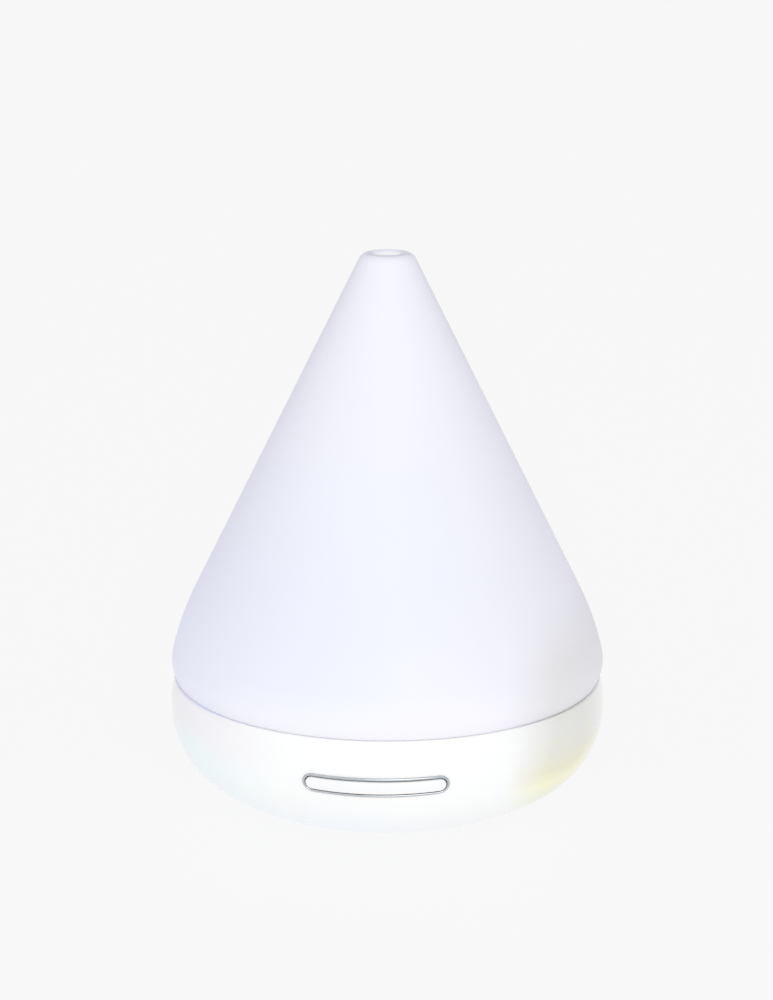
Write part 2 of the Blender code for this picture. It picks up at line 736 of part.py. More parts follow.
def make_tank(clear, silicone, steel):
    well_wall_r = WELL_R + WELL_WALL
    outline = [
        (FLANGE_R, FLANGE_Z), (FLANGE_R - TANK_LEAN, UPSTAND_Z), (UPSTAND_R, UPSTAND_Z),
        (UPSTAND_R, FLANGE_TOP_Z),
        (BASIN_TOP_R + BASIN_LIP_R, FLANGE_TOP_Z), (BASIN_TOP_R, FLANGE_TOP_Z - BASIN_LIP_H),
        (BASIN_FOOT_R, FLOOR_Z + BASIN_CHAMFER_H), (BASIN_FOOT_R - BASIN_CHAMFER_R, FLOOR_Z),
        (WELL_R + WELL_CHAMFER, FLOOR_Z), (WELL_R, FLOOR_Z - WELL_CHAMFER), (WELL_R, WELL_Z),
        (WELL_HOLE_R, WELL_Z), (WELL_HOLE_R, WELL_UNDER_Z), (well_wall_r, WELL_UNDER_Z),
        (well_wall_r, FLOOR_UNDER_Z), (BASIN_FOOT_R, FLOOR_UNDER_Z),
        (BASIN_FOOT_R + TANK_WALL, FLOOR_UNDER_Z + BASIN_CHAMFER_H), (BASIN_TOP_R + TANK_WALL, FLANGE_Z),
    ]
    tank = turned("tank", outline, clear, FINE)
    add_riser(tank)
    add_posts(tank)
    probe_hole = rod("tool_probe_hole", PROBE_HOLE_R, FLOOR_Z - FLOOR_UNDER_Z + 2 * PAST, None,
                     (PROBE_X, PROBE_Y, FLOOR_UNDER_Z - PAST))
    cut(tank, probe_hole)
    ring("tank_seal", LEDGE_R + 2 * GAP, FLANGE_R - TANK_LEAN, LEDGE_Z + GAP, FLANGE_Z - GAP, silicone, FINE)
    make_probe(silicone, steel)
    make_hood(clear)


def add_riser(tank):
    """The air riser stands in the tank and carries the blower's air past the water."""
    low = FLOOR_UNDER_Z + BITE
    weld(tank, rod("tool_riser", RISER_R, RISER_TOP_Z - low, None, (RISER_X, RISER_Y, low), UP, 18))
    bore_low = FLOOR_UNDER_Z - PAST
    bore = rod("tool_riser_bore", RISER_BORE_R, RISER_TOP_Z + PAST - bore_low, None,
               (RISER_X, RISER_Y, bore_low), UP, 18)
    cut(tank, bore)


def add_posts(tank):
    """Posts for the case screws, bosses for the transducer's ring and pegs for the lamp board."""
    low = PLATE_TOP_Z + GAP
    for i, (x, y) in enumerate(on_circle(POST_PITCH_R, POST_ANGLES)):
        weld(tank, rod(f"tool_post_{i}", POST_R, FLOOR_UNDER_Z + BITE - low, None, (x, y, low)))
        cut(tank, rod(f"tool_post_hole_{i}", POST_HOLE_R, POST_HOLE_L + PAST, None, (x, y, low - PAST)))
    low = RING_TOP_Z + GAP
    for i, (x, y) in enumerate(around(RING_SCREW_COUNT, RING_SCREW_R, RING_SCREW_START)):
        weld(tank, rod(f"tool_boss_{i}", BOSS_R, FLOOR_UNDER_Z + BITE / 2 - low, None, (x, y, low)))
        hole = rod(f"tool_boss_hole_{i}", BOSS_HOLE_R, BOSS_HOLE_TOP_Z - low + PAST, None, (x, y, low - PAST))
        cut(tank, hole)
    for i, (x, y) in enumerate(around(LED_PEG_COUNT, LED_PEG_PITCH_R, LED_PEG_START)):
        weld(tank, rod(f"tool_peg_{i}", LED_PEG_R, FLANGE_Z + BITE - LED_PEG_Z, None, (x, y, LED_PEG_Z)))


def make_probe(silicone, steel):
    """The water level probe and the grommet that seals it in the tank's floor."""
    under = FLOOR_UNDER_Z - GAP
    over = FLOOR_Z + GAP
    grommet = [
        (GROMMET_BORE_R, FLOOR_UNDER_Z - GROMMET_UNDER_H), (GROMMET_R, FLOOR_UNDER_Z - GROMMET_UNDER_H),
        (GROMMET_R, under), (GROMMET_NECK_R, under), (GROMMET_NECK_R, over), (GROMMET_R, over),
        (GROMMET_R, FLOOR_Z + GROMMET_LIP_H), (GROMMET_BORE_R, FLOOR_Z + GROMMET_TOP_H),
    ]
    turned("probe_grommet", grommet, silicone, COARSE, (PROBE_X, PROBE_Y, 0))
    rod("level_probe", PROBE_R, PROBE_L, steel, (PROBE_X, PROBE_Y, PROBE_Z))


def make_hood(clear):
    """The splash hood over the riser blows out through a window at the rear."""
    bore = RISER_R + GAP
    radius = bore + HOOD_WALL
    roof = HOOD_TOP_Z - HOOD_ROOF
    outline = [
        (bore, HOOD_Z), (radius, HOOD_Z), (radius, HOOD_TOP_Z - HOOD_CHAMFER), (RISER_R, HOOD_TOP_Z),
        (0, HOOD_TOP_Z), (0, roof), (bore, roof),
    ]
    hood = turned("air_hood", outline, clear, MEDIUM, (RISER_X, RISER_Y, 0))
    cut(hood, block("tool_hood_window", HOOD_WINDOW_LOW, HOOD_WINDOW_HIGH, None))


# ---------------------------------------------------------------- underside


def make_bottom_cover(gloss, rubber, steel):
    outline = [
        (0, PLATE_Z), (PLATE_FLAT_R, PLATE_Z), *PLATE_RISE, (PLATE_R, PLATE_EDGE_Z),
        (PLATE_R - PLATE_RIM_W, PLATE_EDGE_Z), (PLATE_TOP_R, PLATE_TOP_Z), (0, PLATE_TOP_Z),
    ]
    plate = turned("bottom_cover", outline, gloss, 24)
    low = PLATE_Z - PAST
    through = PLATE_TOP_Z + PAST - low
    for i, (x, y) in enumerate(on_circle(POST_PITCH_R, POST_ANGLES)):
        cut(plate, rod(f"tool_counterbore_{i}", COUNTERBORE_R, COUNTERBORE_Z - low, None, (x, y, low)))
        cut(plate, rod(f"tool_clearance_{i}", POST_HOLE_R, through, None, (x, y, low)))
        screw(f"bottom_screw_{i + 1}", (x, y, COUNTERBORE_Z - GAP), UP, CASE_SCREW, steel)
    foot = [(0, 0), (FOOT_R - FOOT_CHAMFER, 0), (FOOT_R, FOOT_CHAMFER), (FOOT_R, FOOT_H), (0, FOOT_H)]
    for i, (x, y) in enumerate(around(4, FOOT_PITCH_R, 45)):
        seat = rod(f"tool_foot_seat_{i}", FOOT_R + GAP, FOOT_H + GAP - low, None, (x, y, low), UP, MEDIUM)
        cut(plate, seat)
        turned(f"foot_{i + 1}", foot, rubber, MEDIUM, (x, y, 0))
    for i in range(VENT_COUNT):
        y = FAN_Y + VENT_PITCH * (i - (VENT_COUNT - 1) / 2)
        vent = block(f"tool_vent_{i}", (-VENT_HALF_LENGTH, y - VENT_HALF_WIDTH, low),
                     (VENT_HALF_LENGTH, y + VENT_HALF_WIDTH, low + through), None)
        cut(plate, vent)
    add_plate_bosses(plate)


def add_plate_bosses(plate):
    """Bosses for the main board's screws, a rest for its front edge, and bosses for the blower's screws."""
    low = PLATE_TOP_Z - BITE
    top = MAIN_BOARD_LOW[2] - GAP
    for i, (x, y) in enumerate(((-MAIN_SCREW_X, MAIN_SCREW_Y), (MAIN_SCREW_X, MAIN_SCREW_Y), (0, MAIN_REST_Y))):
        weld(plate, rod(f"tool_board_boss_{i}", MAIN_BOSS_R, top - low, None, (x, y, low)))
        if x:
            hole = rod(f"tool_board_boss_hole_{i}", MAIN_BOSS_HOLE_R, MAIN_BOSS_HOLE_L + PAST, None,
                       (x, y, top - MAIN_BOSS_HOLE_L))
            cut(plate, hole)
    top = FAN_Z - GAP
    for side in (-1, 1):
        x = FAN_X + side * FAN_HOLE_PITCH
        y = FAN_Y + side * FAN_HOLE_PITCH
        weld(plate, rod(f"tool_fan_boss{side}", FAN_BOSS_R, top - low, None, (x, y, low)))
        hole = rod(f"tool_fan_boss_hole{side}", FAN_BOSS_HOLE_R, FAN_BOSS_HOLE_L + PAST, None,
                   (x, y, top - FAN_BOSS_HOLE_L))
        cut(plate, hole)


# ---------------------------------------------------------------- transducer


def make_transducer(brass, silicone, steel):
    groove_r = DISC_R + GAP
    top = WELL_UNDER_Z - GAP
    low = RING_TOP_Z + GAP
    seal = [
        (SEAL_R, top), (SEAL_LIP_R, top), (SEAL_LIP_R, DISC_TOP_Z + GAP), (groove_r, DISC_TOP_Z + GAP),
        (groove_r, DISC_Z - GAP), (SEAL_LIP_R, DISC_Z - GAP), (SEAL_LIP_R, low), (SEAL_R, low),
    ]
    turned("piezo_seal", seal, silicone, MEDIUM)
    disc = [
        (0, DISC_Z), (DISC_DISH_R, DISC_Z), (DISC_R, DISC_Z + DISC_DISH_H), (DISC_R, DISC_TOP_Z), (0, DISC_TOP_Z),
    ]
    turned("piezo_disc", disc, brass, MEDIUM)
    plate = ring("piezo_ring", RING_BORE_R, RING_R, RING_Z, RING_TOP_Z, steel, 20)
    for i, (x, y) in enumerate(around(RING_SCREW_COUNT, RING_SCREW_R, RING_SCREW_START)):
        hole = rod(f"tool_ring_hole_{i}", RING_HOLE_R, RING_TOP_Z - RING_Z + 2 * PAST, None,
                   (x, y, RING_Z - PAST))
        cut(plate, hole)
        screw(f"piezo_screw_{i + 1}", (x, y, RING_Z - GAP), UP, RING_SCREW, steel)


# ---------------------------------------------------------------- lamp ring


def make_lamps(green, lens):
    top = LED_BOARD_Z + LED_BOARD_T
    board = ring("led_board", LED_BOARD_BORE_R, LED_BOARD_R, LED_BOARD_Z, top, green, 40)
    for i, (x, y) in enumerate(around(LED_PEG_COUNT, LED_PEG_PITCH_R, LED_PEG_START)):
        hole = rod(f"tool_peg_hole_{i}", LED_PEG_R + GAP, LED_BOARD_T + 2 * PAST, None,
                   (x, y, LED_BOARD_Z - PAST))
        cut(board, hole)
    low = top + GAP
    dome = [(0, low), (LED_FOOT_R, low), (LED_FOOT_R, low + LED_FOOT_H)]
    dome += [(r, low + z) for r, z in LED_DOME]
    for i, (x, y) in enumerate(around(LED_COUNT, LED_PITCH_R)):
        turned(f"led_{i + 1}", dome, lens, COARSE, (x, y, 0))


# ---------------------------------------------------------------- main board


def make_main_board(green, black, steel, copper, blue):
    board = block("main_board", MAIN_BOARD_LOW, MAIN_BOARD_HIGH, green)
    base = MAIN_BOARD_HIGH[2] + GAP
    for number, side in ((1, -1), (2, 1)):
        x = side * MAIN_SCREW_X
        hole = rod(f"tool_main_hole_{number}", MAIN_HOLE_R, BOARD_T + 2 * PAST, None,
                   (x, MAIN_SCREW_Y, MAIN_BOARD_LOW[2] - PAST))
        cut(board, hole)
        screw(f"main_board_screw_{number}", (x, MAIN_SCREW_Y, base), DOWN, MAIN_SCREW, steel)
    make_heatsink(steel, base)
    block("transistor", (*TRANSISTOR_LOW, base), (*TRANSISTOR_HIGH, base + TRANSISTOR_H), black)
    block("controller_chip", (*CHIP_LOW, base), (*CHIP_HIGH, base + CHIP_H), black)

    top = base + INDUCTOR_H
    low_flange = base + INDUCTOR_FLANGE
    high_flange = top - INDUCTOR_FLANGE
    core = [
        (0, base), (INDUCTOR_R, base), (INDUCTOR_R, low_flange), (INDUCTOR_CORE_R, low_flange + INDUCTOR_SLOPE),
        (INDUCTOR_CORE_R, high_flange - INDUCTOR_SLOPE), (INDUCTOR_R, high_flange), (INDUCTOR_R, top), (0, top),
    ]
    turned("inductor", core, copper, 12, INDUCTOR_PLACE)
    top = base + CAPACITOR_H
    can = [
        (0, base), (CAPACITOR_R, base), (CAPACITOR_R, top - CAPACITOR_ROLL_H),
        (CAPACITOR_R - CAPACITOR_ROLL_R, top), (0, top),
    ]
    turned("capacitor", can, blue, 12, CAPACITOR_PLACE)


def make_heatsink(steel, base):
    outline = [(0, 0), (HEATSINK_L, 0), (HEATSINK_L, HEATSINK_W)]
    for i in range(FIN_COUNT, 0, -1):
        x = FIN_PITCH * i
        outline += [(x, HEATSINK_W), (x, HEATSINK_BACK)]
        outline += [(x - FIN_SLOT, HEATSINK_BACK), (x - FIN_SLOT, HEATSINK_W)]
    outline.append((0, HEATSINK_W))
    prism("heatsink", outline, 0, HEATSINK_H, steel, (*HEATSINK_PLACE, base))


# ---------------------------------------------------------------- blower


def sector(name, inner, outer, start, end, low, high, place):
    """A curved window between two radii and two angles."""
    outline = [(outer * math.cos(a), outer * math.sin(a)) for a in (start, (start + end) / 2, end)]
    outline += [(inner * math.cos(a), inner * math.sin(a)) for a in (end, (start + end) / 2, start)]
    return prism(name, outline, low, high, None, place)


def make_blower(black, grey, clear, steel):
    half = FAN_SIZE / 2
    top = FAN_Z + FAN_H
    floor = FAN_Z + FAN_FLOOR
    frame = block("fan_frame", (FAN_X - half, FAN_Y - half, FAN_Z), (FAN_X + half, FAN_Y + half, top), black)
    cut(frame, rod("tool_fan_bore", FAN_BORE_R, top + PAST - floor, None, (FAN_X, FAN_Y, floor), UP, 24))
    for i in range(FAN_WINDOW_COUNT):
        middle = math.tau * (i + 0.5) / FAN_WINDOW_COUNT
        window = sector(f"tool_fan_window_{i}", FAN_HUB_R + GAP, FAN_BORE_R - FAN_WINDOW_EDGE,
                        middle - FAN_WINDOW_HALF, middle + FAN_WINDOW_HALF, FAN_Z - PAST, floor + PAST,
                        (FAN_X, FAN_Y, 0))
        cut(frame, window)
    bearing = rod("tool_fan_bearing", FAN_BEARING_R, FAN_FLOOR + 2 * PAST, None, (FAN_X, FAN_Y, FAN_Z - PAST))
    cut(frame, bearing)
    for number, side in ((1, -1), (2, 1)):
        x = FAN_X + side * FAN_HOLE_PITCH
        y = FAN_Y + side * FAN_HOLE_PITCH
        cut(frame, rod(f"tool_fan_hole_{number}", FAN_HOLE_R, FAN_H + 2 * PAST, None, (x, y, FAN_Z - PAST)))
        screw(f"fan_screw_{number}", (x, y, top + GAP), DOWN, FAN_SCREW, steel)
    make_rotor(grey, floor + GAP)

    low = top + GAP
    high = FLOOR_UNDER_Z - GAP
    duct = [
        (DUCT_FOOT_BORE_R, low), (DUCT_FOOT_R, low), (DUCT_FOOT_R, low + DUCT_FOOT_H),
        (DUCT_TOP_R, high - DUCT_TOP_H), (DUCT_TOP_R, high), (DUCT_TOP_BORE_R, high),
        (DUCT_TOP_BORE_R, high - DUCT_TOP_H), (DUCT_FOOT_BORE_R, low + DUCT_TOP_H),
    ]
    turned("air_duct", duct, clear, MEDIUM, (FAN_X, FAN_Y, 0))


def make_rotor(grey, low):
    """Blades twisted round a hub, on a shaft that sits in the frame's bearing."""
    blade = []
    for i in range(FAN_BLADES):
        start = math.tau * i / FAN_BLADES
        for radius, turn in zip((BLADE_ROOT_R, BLADE_TIP_R, BLADE_TIP_R, BLADE_ROOT_R), BLADE_TURNS):
            blade.append((radius * math.cos(start + turn), radius * math.sin(start + turn)))
    rotor = prism("fan_rotor", blade, low, low + BLADE_H, grey, (FAN_X, FAN_Y, 0), UP, BLADE_TWIST)
    weld(rotor, rod("tool_rotor_hub", FAN_HUB_R, FAN_HUB_H, None, (FAN_X, FAN_Y, low), UP, MEDIUM))
    shaft = rod("tool_rotor_shaft", FAN_SHAFT_R, FAN_SHAFT_DROP + BITE, None,
                (FAN_X, FAN_Y, low - FAN_SHAFT_DROP))
    weld(rotor, shaft)


# ---------------------------------------------------------------- power inlet and leads


def make_jack(black):
    jack = block("dc_jack", (-JACK_HALF, JACK_FRONT_Y, JACK_Z - JACK_HALF),
                 (JACK_HALF, JACK_BACK_Y, JACK_Z + JACK_HALF), black)
    nose_y = JACK_BACK_Y - BITE
    weld(jack, rod("tool_jack_nose", JACK_NOSE_R, JACK_NOSE_Y - nose_y, None, (0, nose_y, JACK_Z), BACK, MEDIUM))
    bore_y = JACK_NOSE_Y - JACK_BORE_L
    cut(jack, rod("tool_jack_bore", JACK_BORE_R, JACK_BORE_L + PAST, None, (0, bore_y, JACK_Z), BACK, MEDIUM))
    weld(jack, rod("tool_jack_pin", JACK_PIN_R, JACK_PIN_L + BITE, None, (0, bore_y - BITE, JACK_Z), BACK))


def make_leads(white, red, black):
    top = MAIN_BOARD_HIGH[2] + GAP + LEAD_R + 0.1
    lead("wire_piezo", [(-2, -21, top), (-2, -17, 13.6), (-1, -8, 13.2), (0, -2, 15), (0, 0, 17.4)],
         LEAD_R, red)
    lead("wire_fan", [(21, -26, top), (26, -18, 14), (26, 0, 13), (21, 14, 12.5), (15.5, 24, 12.5),
                      (13.6, 27, 12.5)], LEAD_R, black)
    lead("wire_jack", [(0, 60.4, 30), (-10, 57, 26), (-31, 46, 18), (-43, 24, 13), (-44.5, 6, 12.2),
                       (-41, -17, 12.6), (-31, -29, 13.6), (-21, -31, top + 0.1)], INLET_LEAD_R, black)
    lead("wire_led", [(57, -25, 43.3), (57.5, -26, 36), (56, -32, 24), (42, -38, 16), (27, -36, 14.4),
                      (21, -34, top)], LEAD_R, white)
    lead("wire_keys", [(4, -66.8, 33), (4, -62, 27), (3, -55, 18), (1.6, -50, 15), (1, -45, top)],
         LEAD_R, white)


def main():
    clear_scene()
    frosted = look("frosted_white", (0.94, 0.945, 0.97), 0.42)
    gloss = look("gloss_white", (0.93, 0.935, 0.93), 0.12)
    chrome = look("chrome", (0.82, 0.84, 0.86), 0.08, 1.0)
    satin = look("satin_white", (0.92, 0.925, 0.93), 0.25)
    clear = look("milky_tank", (0.9, 0.92, 0.94), 0.3)
    silicone = look("silicone", (0.8, 0.81, 0.82), 0.6)
    rubber = look("grey_rubber", (0.42, 0.43, 0.45), 0.8)
    steel = look("steel", (0.62, 0.63, 0.65), 0.3, 1.0)
    brass = look("silvered_disc", (0.78, 0.74, 0.6), 0.25, 1.0)
    copper = look("copper_winding", (0.62, 0.33, 0.18), 0.35, 1.0)
    green = look("circuit_board", (0.05, 0.28, 0.14), 0.4)
    black = look("black_plastic", (0.03, 0.03, 0.035), 0.35)
    grey = look("fan_grey", (0.16, 0.16, 0.17), 0.35)
    blue = look("capacitor_sleeve", (0.06, 0.1, 0.24), 0.35)
    lens = look("led_lens", (0.95, 0.93, 0.8), 0.15)
    red = look("red_lead", (0.6, 0.05, 0.04), 0.45)

    make_cover(frosted, clear)
    make_base_shell(gloss)
    make_bezel_and_key(chrome, satin, steel)
    make_key_bracket(satin)
    make_button_board(green, black, satin, steel)
    make_tank(clear, silicone, steel)
    make_bottom_cover(gloss, rubber, steel)
    make_transducer(brass, silicone, steel)
    make_lamps(green, lens)
    make_main_board(green, black, steel, copper, blue)
    make_blower(black, grey, clear, steel)
    make_jack(black)
    make_leads(satin, red, black)


main()
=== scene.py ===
"""Looks of the essential oil diffuser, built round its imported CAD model.

Lengths are in millimetres until a mesh is made, as in the part itself. +Z is up and the key faces -Y.
"""

import json
import math

import bmesh
import bpy
from mathutils import Matrix, Vector


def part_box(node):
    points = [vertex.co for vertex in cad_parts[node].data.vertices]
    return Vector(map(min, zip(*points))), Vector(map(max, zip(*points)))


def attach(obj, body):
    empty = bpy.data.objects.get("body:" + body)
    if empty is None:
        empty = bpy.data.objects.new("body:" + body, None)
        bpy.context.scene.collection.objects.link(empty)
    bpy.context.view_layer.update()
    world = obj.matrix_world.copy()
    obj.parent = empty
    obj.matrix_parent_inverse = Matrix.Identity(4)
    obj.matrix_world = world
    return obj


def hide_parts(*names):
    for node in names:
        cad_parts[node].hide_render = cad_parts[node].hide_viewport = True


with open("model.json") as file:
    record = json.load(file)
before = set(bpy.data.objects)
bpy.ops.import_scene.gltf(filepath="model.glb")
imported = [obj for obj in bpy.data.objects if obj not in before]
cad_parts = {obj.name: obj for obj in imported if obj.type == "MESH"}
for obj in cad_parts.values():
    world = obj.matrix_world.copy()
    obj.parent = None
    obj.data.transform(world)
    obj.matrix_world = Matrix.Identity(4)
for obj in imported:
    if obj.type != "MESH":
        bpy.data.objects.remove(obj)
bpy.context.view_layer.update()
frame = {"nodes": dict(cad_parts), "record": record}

MM = 0.001
UP = Vector((0, 0, 1))
BACK = Vector((0, 1, 0))


def span(node):
    """A CAD node's lowest and highest corner, in millimetres."""
    low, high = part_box(node)
    return low / MM, high / MM


COVER_LOW, COVER_HIGH = span("outer_cover")
BASE_LOW, BASE_HIGH = span("base_shell")
PLATE_LOW, PLATE_HIGH = span("bottom_cover")
GUIDE_LOW, GUIDE_HIGH = span("mist_guide")
HOOD_LOW, HOOD_HIGH = span("air_hood")

# Free space between pieces, how far a joined tool reaches into its neighbour, and how far a cutter runs past.
GAP = 0.3
BITE = 1.0
PAST = 1.0

# Bowl skin: a superellipse up to its widest ring, then a gentle roll to the rim.
BOWL_R = BASE_HIGH.x
BOWL_POWER = 2.46
BOWL_FLAT_R = 10.0
BOWL_Z = 2.0
BOWL_WALL = 2.4
EQUATOR_Z = 44.3
RIM_Z = BASE_HIGH.z
RIM_DROP = 1.5
RIM_ROLL_H = 0.6
RIM_INNER_R = 80.2
LEDGE_Z = 49.5
LEDGE_R = 76.2
LEDGE_T = 2.0
LEDGE_ROOT_R = 78.4
OPENING_R = 48.5
OPENING_ROLL_H = 0.3
OPENING_LIP_R = 45.0
OPENING_LIP_H = 1.8
OPENING_Z = BASE_LOW.z

# Cover: hip, shoulder and cone, tangent to each other. Its foot is lowered until only a hairline is left.
COVER_TOP_Z = COVER_HIGH.z
COVER_EDGE_Z = COVER_LOW.z
COVER_WALL = 2.2
COVER_DROP = 0.3
COVER_FOOT_ROLL_H = 0.2
COVER_FOOT_ROLL_R = 0.15
COVER_SEAT_R = 80.0
COVER_SEAT_FLARE = 0.4
COVER_SEAT_BEND_H = 2.4
COVER_SEAT_H = 3.4
HIP_R = 13.0
HIP_CENTRE = (70.52, 60.4)
HIP_ANGLE = math.radians(13.5)
SHOULDER_R = 112.0
CONE_ANGLE = math.radians(26.47)
TIP_FILLET_R = 3.9
TIP_INSIDE_FILLET_R = 1.6
OUTLET_R = 6.2
OUTLET_LIP_W = 2.0
OUTLET_INSIDE_LIP_W = 1.2

# Mist guide. Its flare is given as (radius, height, rounding): outside from the top, inside from the mouth.
GUIDE_R = 5.9
GUIDE_BORE_R = 4.7
GUIDE_COLLAR_R = 7.5
GUIDE_COLLAR_H = 1.5
GUIDE_FLARE = ((6.4, 172.0, 9.0), (8.2, 158.0, 5.0), (14.0, 146.0, 5.0))
GUIDE_FLARE_BORE = ((13.2, 144.8, 5.0), (6.9, 157.4, 5.0), (5.0, 172.0, 9.0))
GUIDE_MOUTH_WALL = 1.2

# Tank. A small ridge inside the basin, given as (radius, height, rounding), marks the highest water level.
FLANGE_R = 79.2
FLANGE_Z = 50.9
FLANGE_TOP_Z = 53.1
UPSTAND_R = 77.4
UPSTAND_Z = 57.0
TANK_LEAN = 0.2
TANK_WALL = 2.3
FILL_LINE = ((51.03, 44.6, 0.1), (50.4, 44.2, 0.15), (50.87, 43.8, 0.1))
BASIN_TOP_R = 52.5
BASIN_FOOT_R = 48.0
BASIN_CHAMFER_R = 1.8
BASIN_CHAMFER_H = 2.4
BASIN_LIP_R = 1.4
BASIN_LIP_H = 0.8
FLOOR_Z = 26.4
FLOOR_UNDER_Z = 24.0
WELL_R = 12.5
WELL_Z = 23.0
WELL_UNDER_Z = 21.2
WELL_HOLE_R = 9.0
WELL_WALL = 2.2
WELL_CHAMFER = 1.0
SEAL_R = 79.0
SEAL_BORE_R = 76.8

# Air riser, and the window of its splash hood, measured in y from the hood's axis.
RISER_Y = 31.0
RISER_R = 9.4
RISER_BORE_R = 7.6
RISER_TOP_Z = 64.0
RISER_CUT_Z = 20.0
RISER_CUT_L = 50.0
HOOD_ROOF = 1.6
HOOD_WINDOW_LOW = Vector((-7.0, 2.0, 64.4))
HOOD_WINDOW_HIGH = Vector((7.0, 16.0, 69.4))
HOOD_WINDOW_R = 0.9

# Posts, bosses and pegs under the tank.
POST_R = 3.6
POST_PITCH_R = 38.0
POST_ANGLES = (30, 150, 210, 330)
POST_HOLE_R = 1.55
POST_HOLE_L = 11.0
RING_TOP_Z = 17.0
RING_SCREW_R = 14.2
RING_SCREW_ANGLES = (90, 210, 330)
BOSS_R = 2.2
BOSS_HOLE_R = 1.2
BOSS_HOLE_TOP_Z = 21.6
BOSS_HOLE_PAST = 0.4
LED_PEG_R = 1.4
LED_PEG_Z = 42.6
LED_PEG_PITCH_R = 63.6
LED_PEG_ANGLES = (30, 150, 270)

# Water level probe and its grommet.
PROBE_X = -38.0
PROBE_Y = 8.0
PROBE_R = 1.5
PROBE_Z = 14.0
PROBE_L = 27.0
PROBE_HOLE_R = 2.9
PROBE_CUT_Z = 22.0
PROBE_CUT_L = 8.0
GROMMET_BORE_R = 1.8
GROMMET_NECK_R = 2.6
GROMMET_R = 4.2
GROMMET_UNDER_H = 1.0
GROMMET_LIP_H = 1.2
GROMMET_TOP_H = 2.0

# Bottom cover, its air vents, feet and case screws (head radius, head height, shank radius).
PLATE_R = 48.2
PLATE_TOP_Z = 5.2
PLATE_EDGE_Z = 7.8
PLATE_SHOULDER_Z = 5.6
PLATE_FLAT_R = 39.0
PLATE_BEND_R = 45.4
PLATE_BEND_H = 1.4
PLATE_RIM_W = 2.2
PLATE_TOP_R = 42.4
PLATE_CUT_L = 6.0
COUNTERBORE_R = 3.1
COUNTERBORE_L = 2.4
FOOT_SEAT_R = 4.9
FOOT_SEAT_L = 1.9
FOOT_PITCH_R = 33.0
FOOT_ANGLES = (45, 135, 225, 315)
FOOT_BEVEL_R = 1.0
FOOT_BEVEL_H = 0.8
VENT_COUNT = 5
VENT_PITCH = 4.4
VENT_HALF_LENGTH = 10.0
VENT_HALF_WIDTH = 1.0
VENT_END_R = 0.9
CASE_SCREW = (2.7, 1.0, 1.25)

# Bosses on the bottom cover, for the main board and for the blower.
MAIN_SCREW_X = 18.5
MAIN_SCREW_Y = -21.5
MAIN_REST_Y = -38.0
MAIN_BOSS_R = 2.3
MAIN_BOSS_L = 6.5
MAIN_BOSS_HOLE_R = 1.3
MAIN_BOSS_HOLE_Z = 7.2
FAN_Y = 31.0
FAN_HOLE_PITCH = 10.0
FAN_BOSS_R = 2.4
FAN_BOSS_L = 5.7
FAN_BOSS_HOLE_R = 1.4
FAN_BOSS_HOLE_Z = 7.0
BOSS_CUT_L = 4.0

# Screw threads and cross recesses: sizes in millimetres, shares of the shank's radius or of the head's size.
THREAD_PITCH = 1.0
THREAD_START = 0.5
THREAD_END = 1.5
THREAD_ROOT = 0.82
THREAD_FLANK = 0.35
THREAD_CREST = 0.5
SCREW_CROWN = 0.9
SCREW_POINT_H = 0.9
SCREW_POINT_ROOT = 0.8
SCREW_TIP_R = 0.15
SCREW_TIP_H = 0.05
RECESS_REACH = 0.55
RECESS_DEPTH = 0.6
RECESS_HALF_WIDTH = 0.24

# Key and bezel, wrapped round the bowl. Their ends bow upwards and taper a little.
KEY_Z = 36.0
KEY_WRAP_R = 83.5
SLOT_BOW = 0.8
SLOT_TAPER = 0.065
SLOT_INSET = 0.3
BEZEL_HALF_LENGTH = 27.1
BEZEL_HALF_HEIGHT = 3.8
BEZEL_WIDTH = 1.0
BEZEL_SLEEVE = 0.4
BEZEL_CREST = 0.7
BEZEL_DEPTH = 3.2
BEZEL_LIP = 0.12
KEY_GAP = 0.3
KEY_LIFT = 1.2
KEY_THICKNESS = 2.4
KEY_EDGE_R = 0.9
KEY_BACK_BEVEL = 0.3

# The key's crown: how far it falls from its middle, at these insets from its edge.
KEY_CROWN = ((1.5, 0.02), (2.0, 0.0))
KEY_CROWN_EDGE = 0.06

# The key's bearing and the legs that reach its switches.
KEY_PIVOT = (0.0, -77.4, KEY_Z)
KEY_BOSS_R = 2.2
KEY_WEB_HALF_WIDTH = 1.2
KEY_WEB_TRIM = 0.3
KEY_ROOT = 0.4
PIN_HOLE_R = 1.25
PIN_CUT_L = 12.0
LEG_X = 17.0
LEG_TIP_Y = -75.0
LEG_HALF_WIDTH = 1.0
LEG_HALF_HEIGHT = 1.2
LEG_EDGE_R = 0.15

# Posts in the bowl for the button board.
BUTTON_BOARD_Y = -69.0
BUTTON_SCREW_X = 18.0
BUTTON_SCREW_Z = 29.0
BUTTON_POST_R = 2.2
BUTTON_POST_INSET = 1.6
BUTTON_HOLE_R = 1.4
BUTTON_HOLE_L = 4.5

# Power inlet, the hole for its nose, and the shelf in the bowl that it stands on.
JACK_Z = 30.0
JACK_HALF = 5.0
JACK_FRONT_Y = 73.5
JACK_NOSE_R = 4.6
JACK_BORE_R = 3.2
JACK_BORE_L = 10.0
JACK_PIN_R = 1.0
JACK_PIN_L = 5.0
INLET_CLEARANCE = 0.4
INLET_CUT_Y = 72.0
INLET_CUT_L = 16.0
SHELF_HALF_WIDTH = 6.0
SHELF_FRONT_Y = 63.0
SHELF_T = 2.0
SHELF_INSET = 1.4

# Studio surroundings: how bright they are on the key's side and behind, and where they fade, from -Y to +Y.
WORLD_FRONT = 1.12
WORLD_BACK = 0.48
WORLD_FADE_START = -0.9
WORLD_FADE_END = 0.5

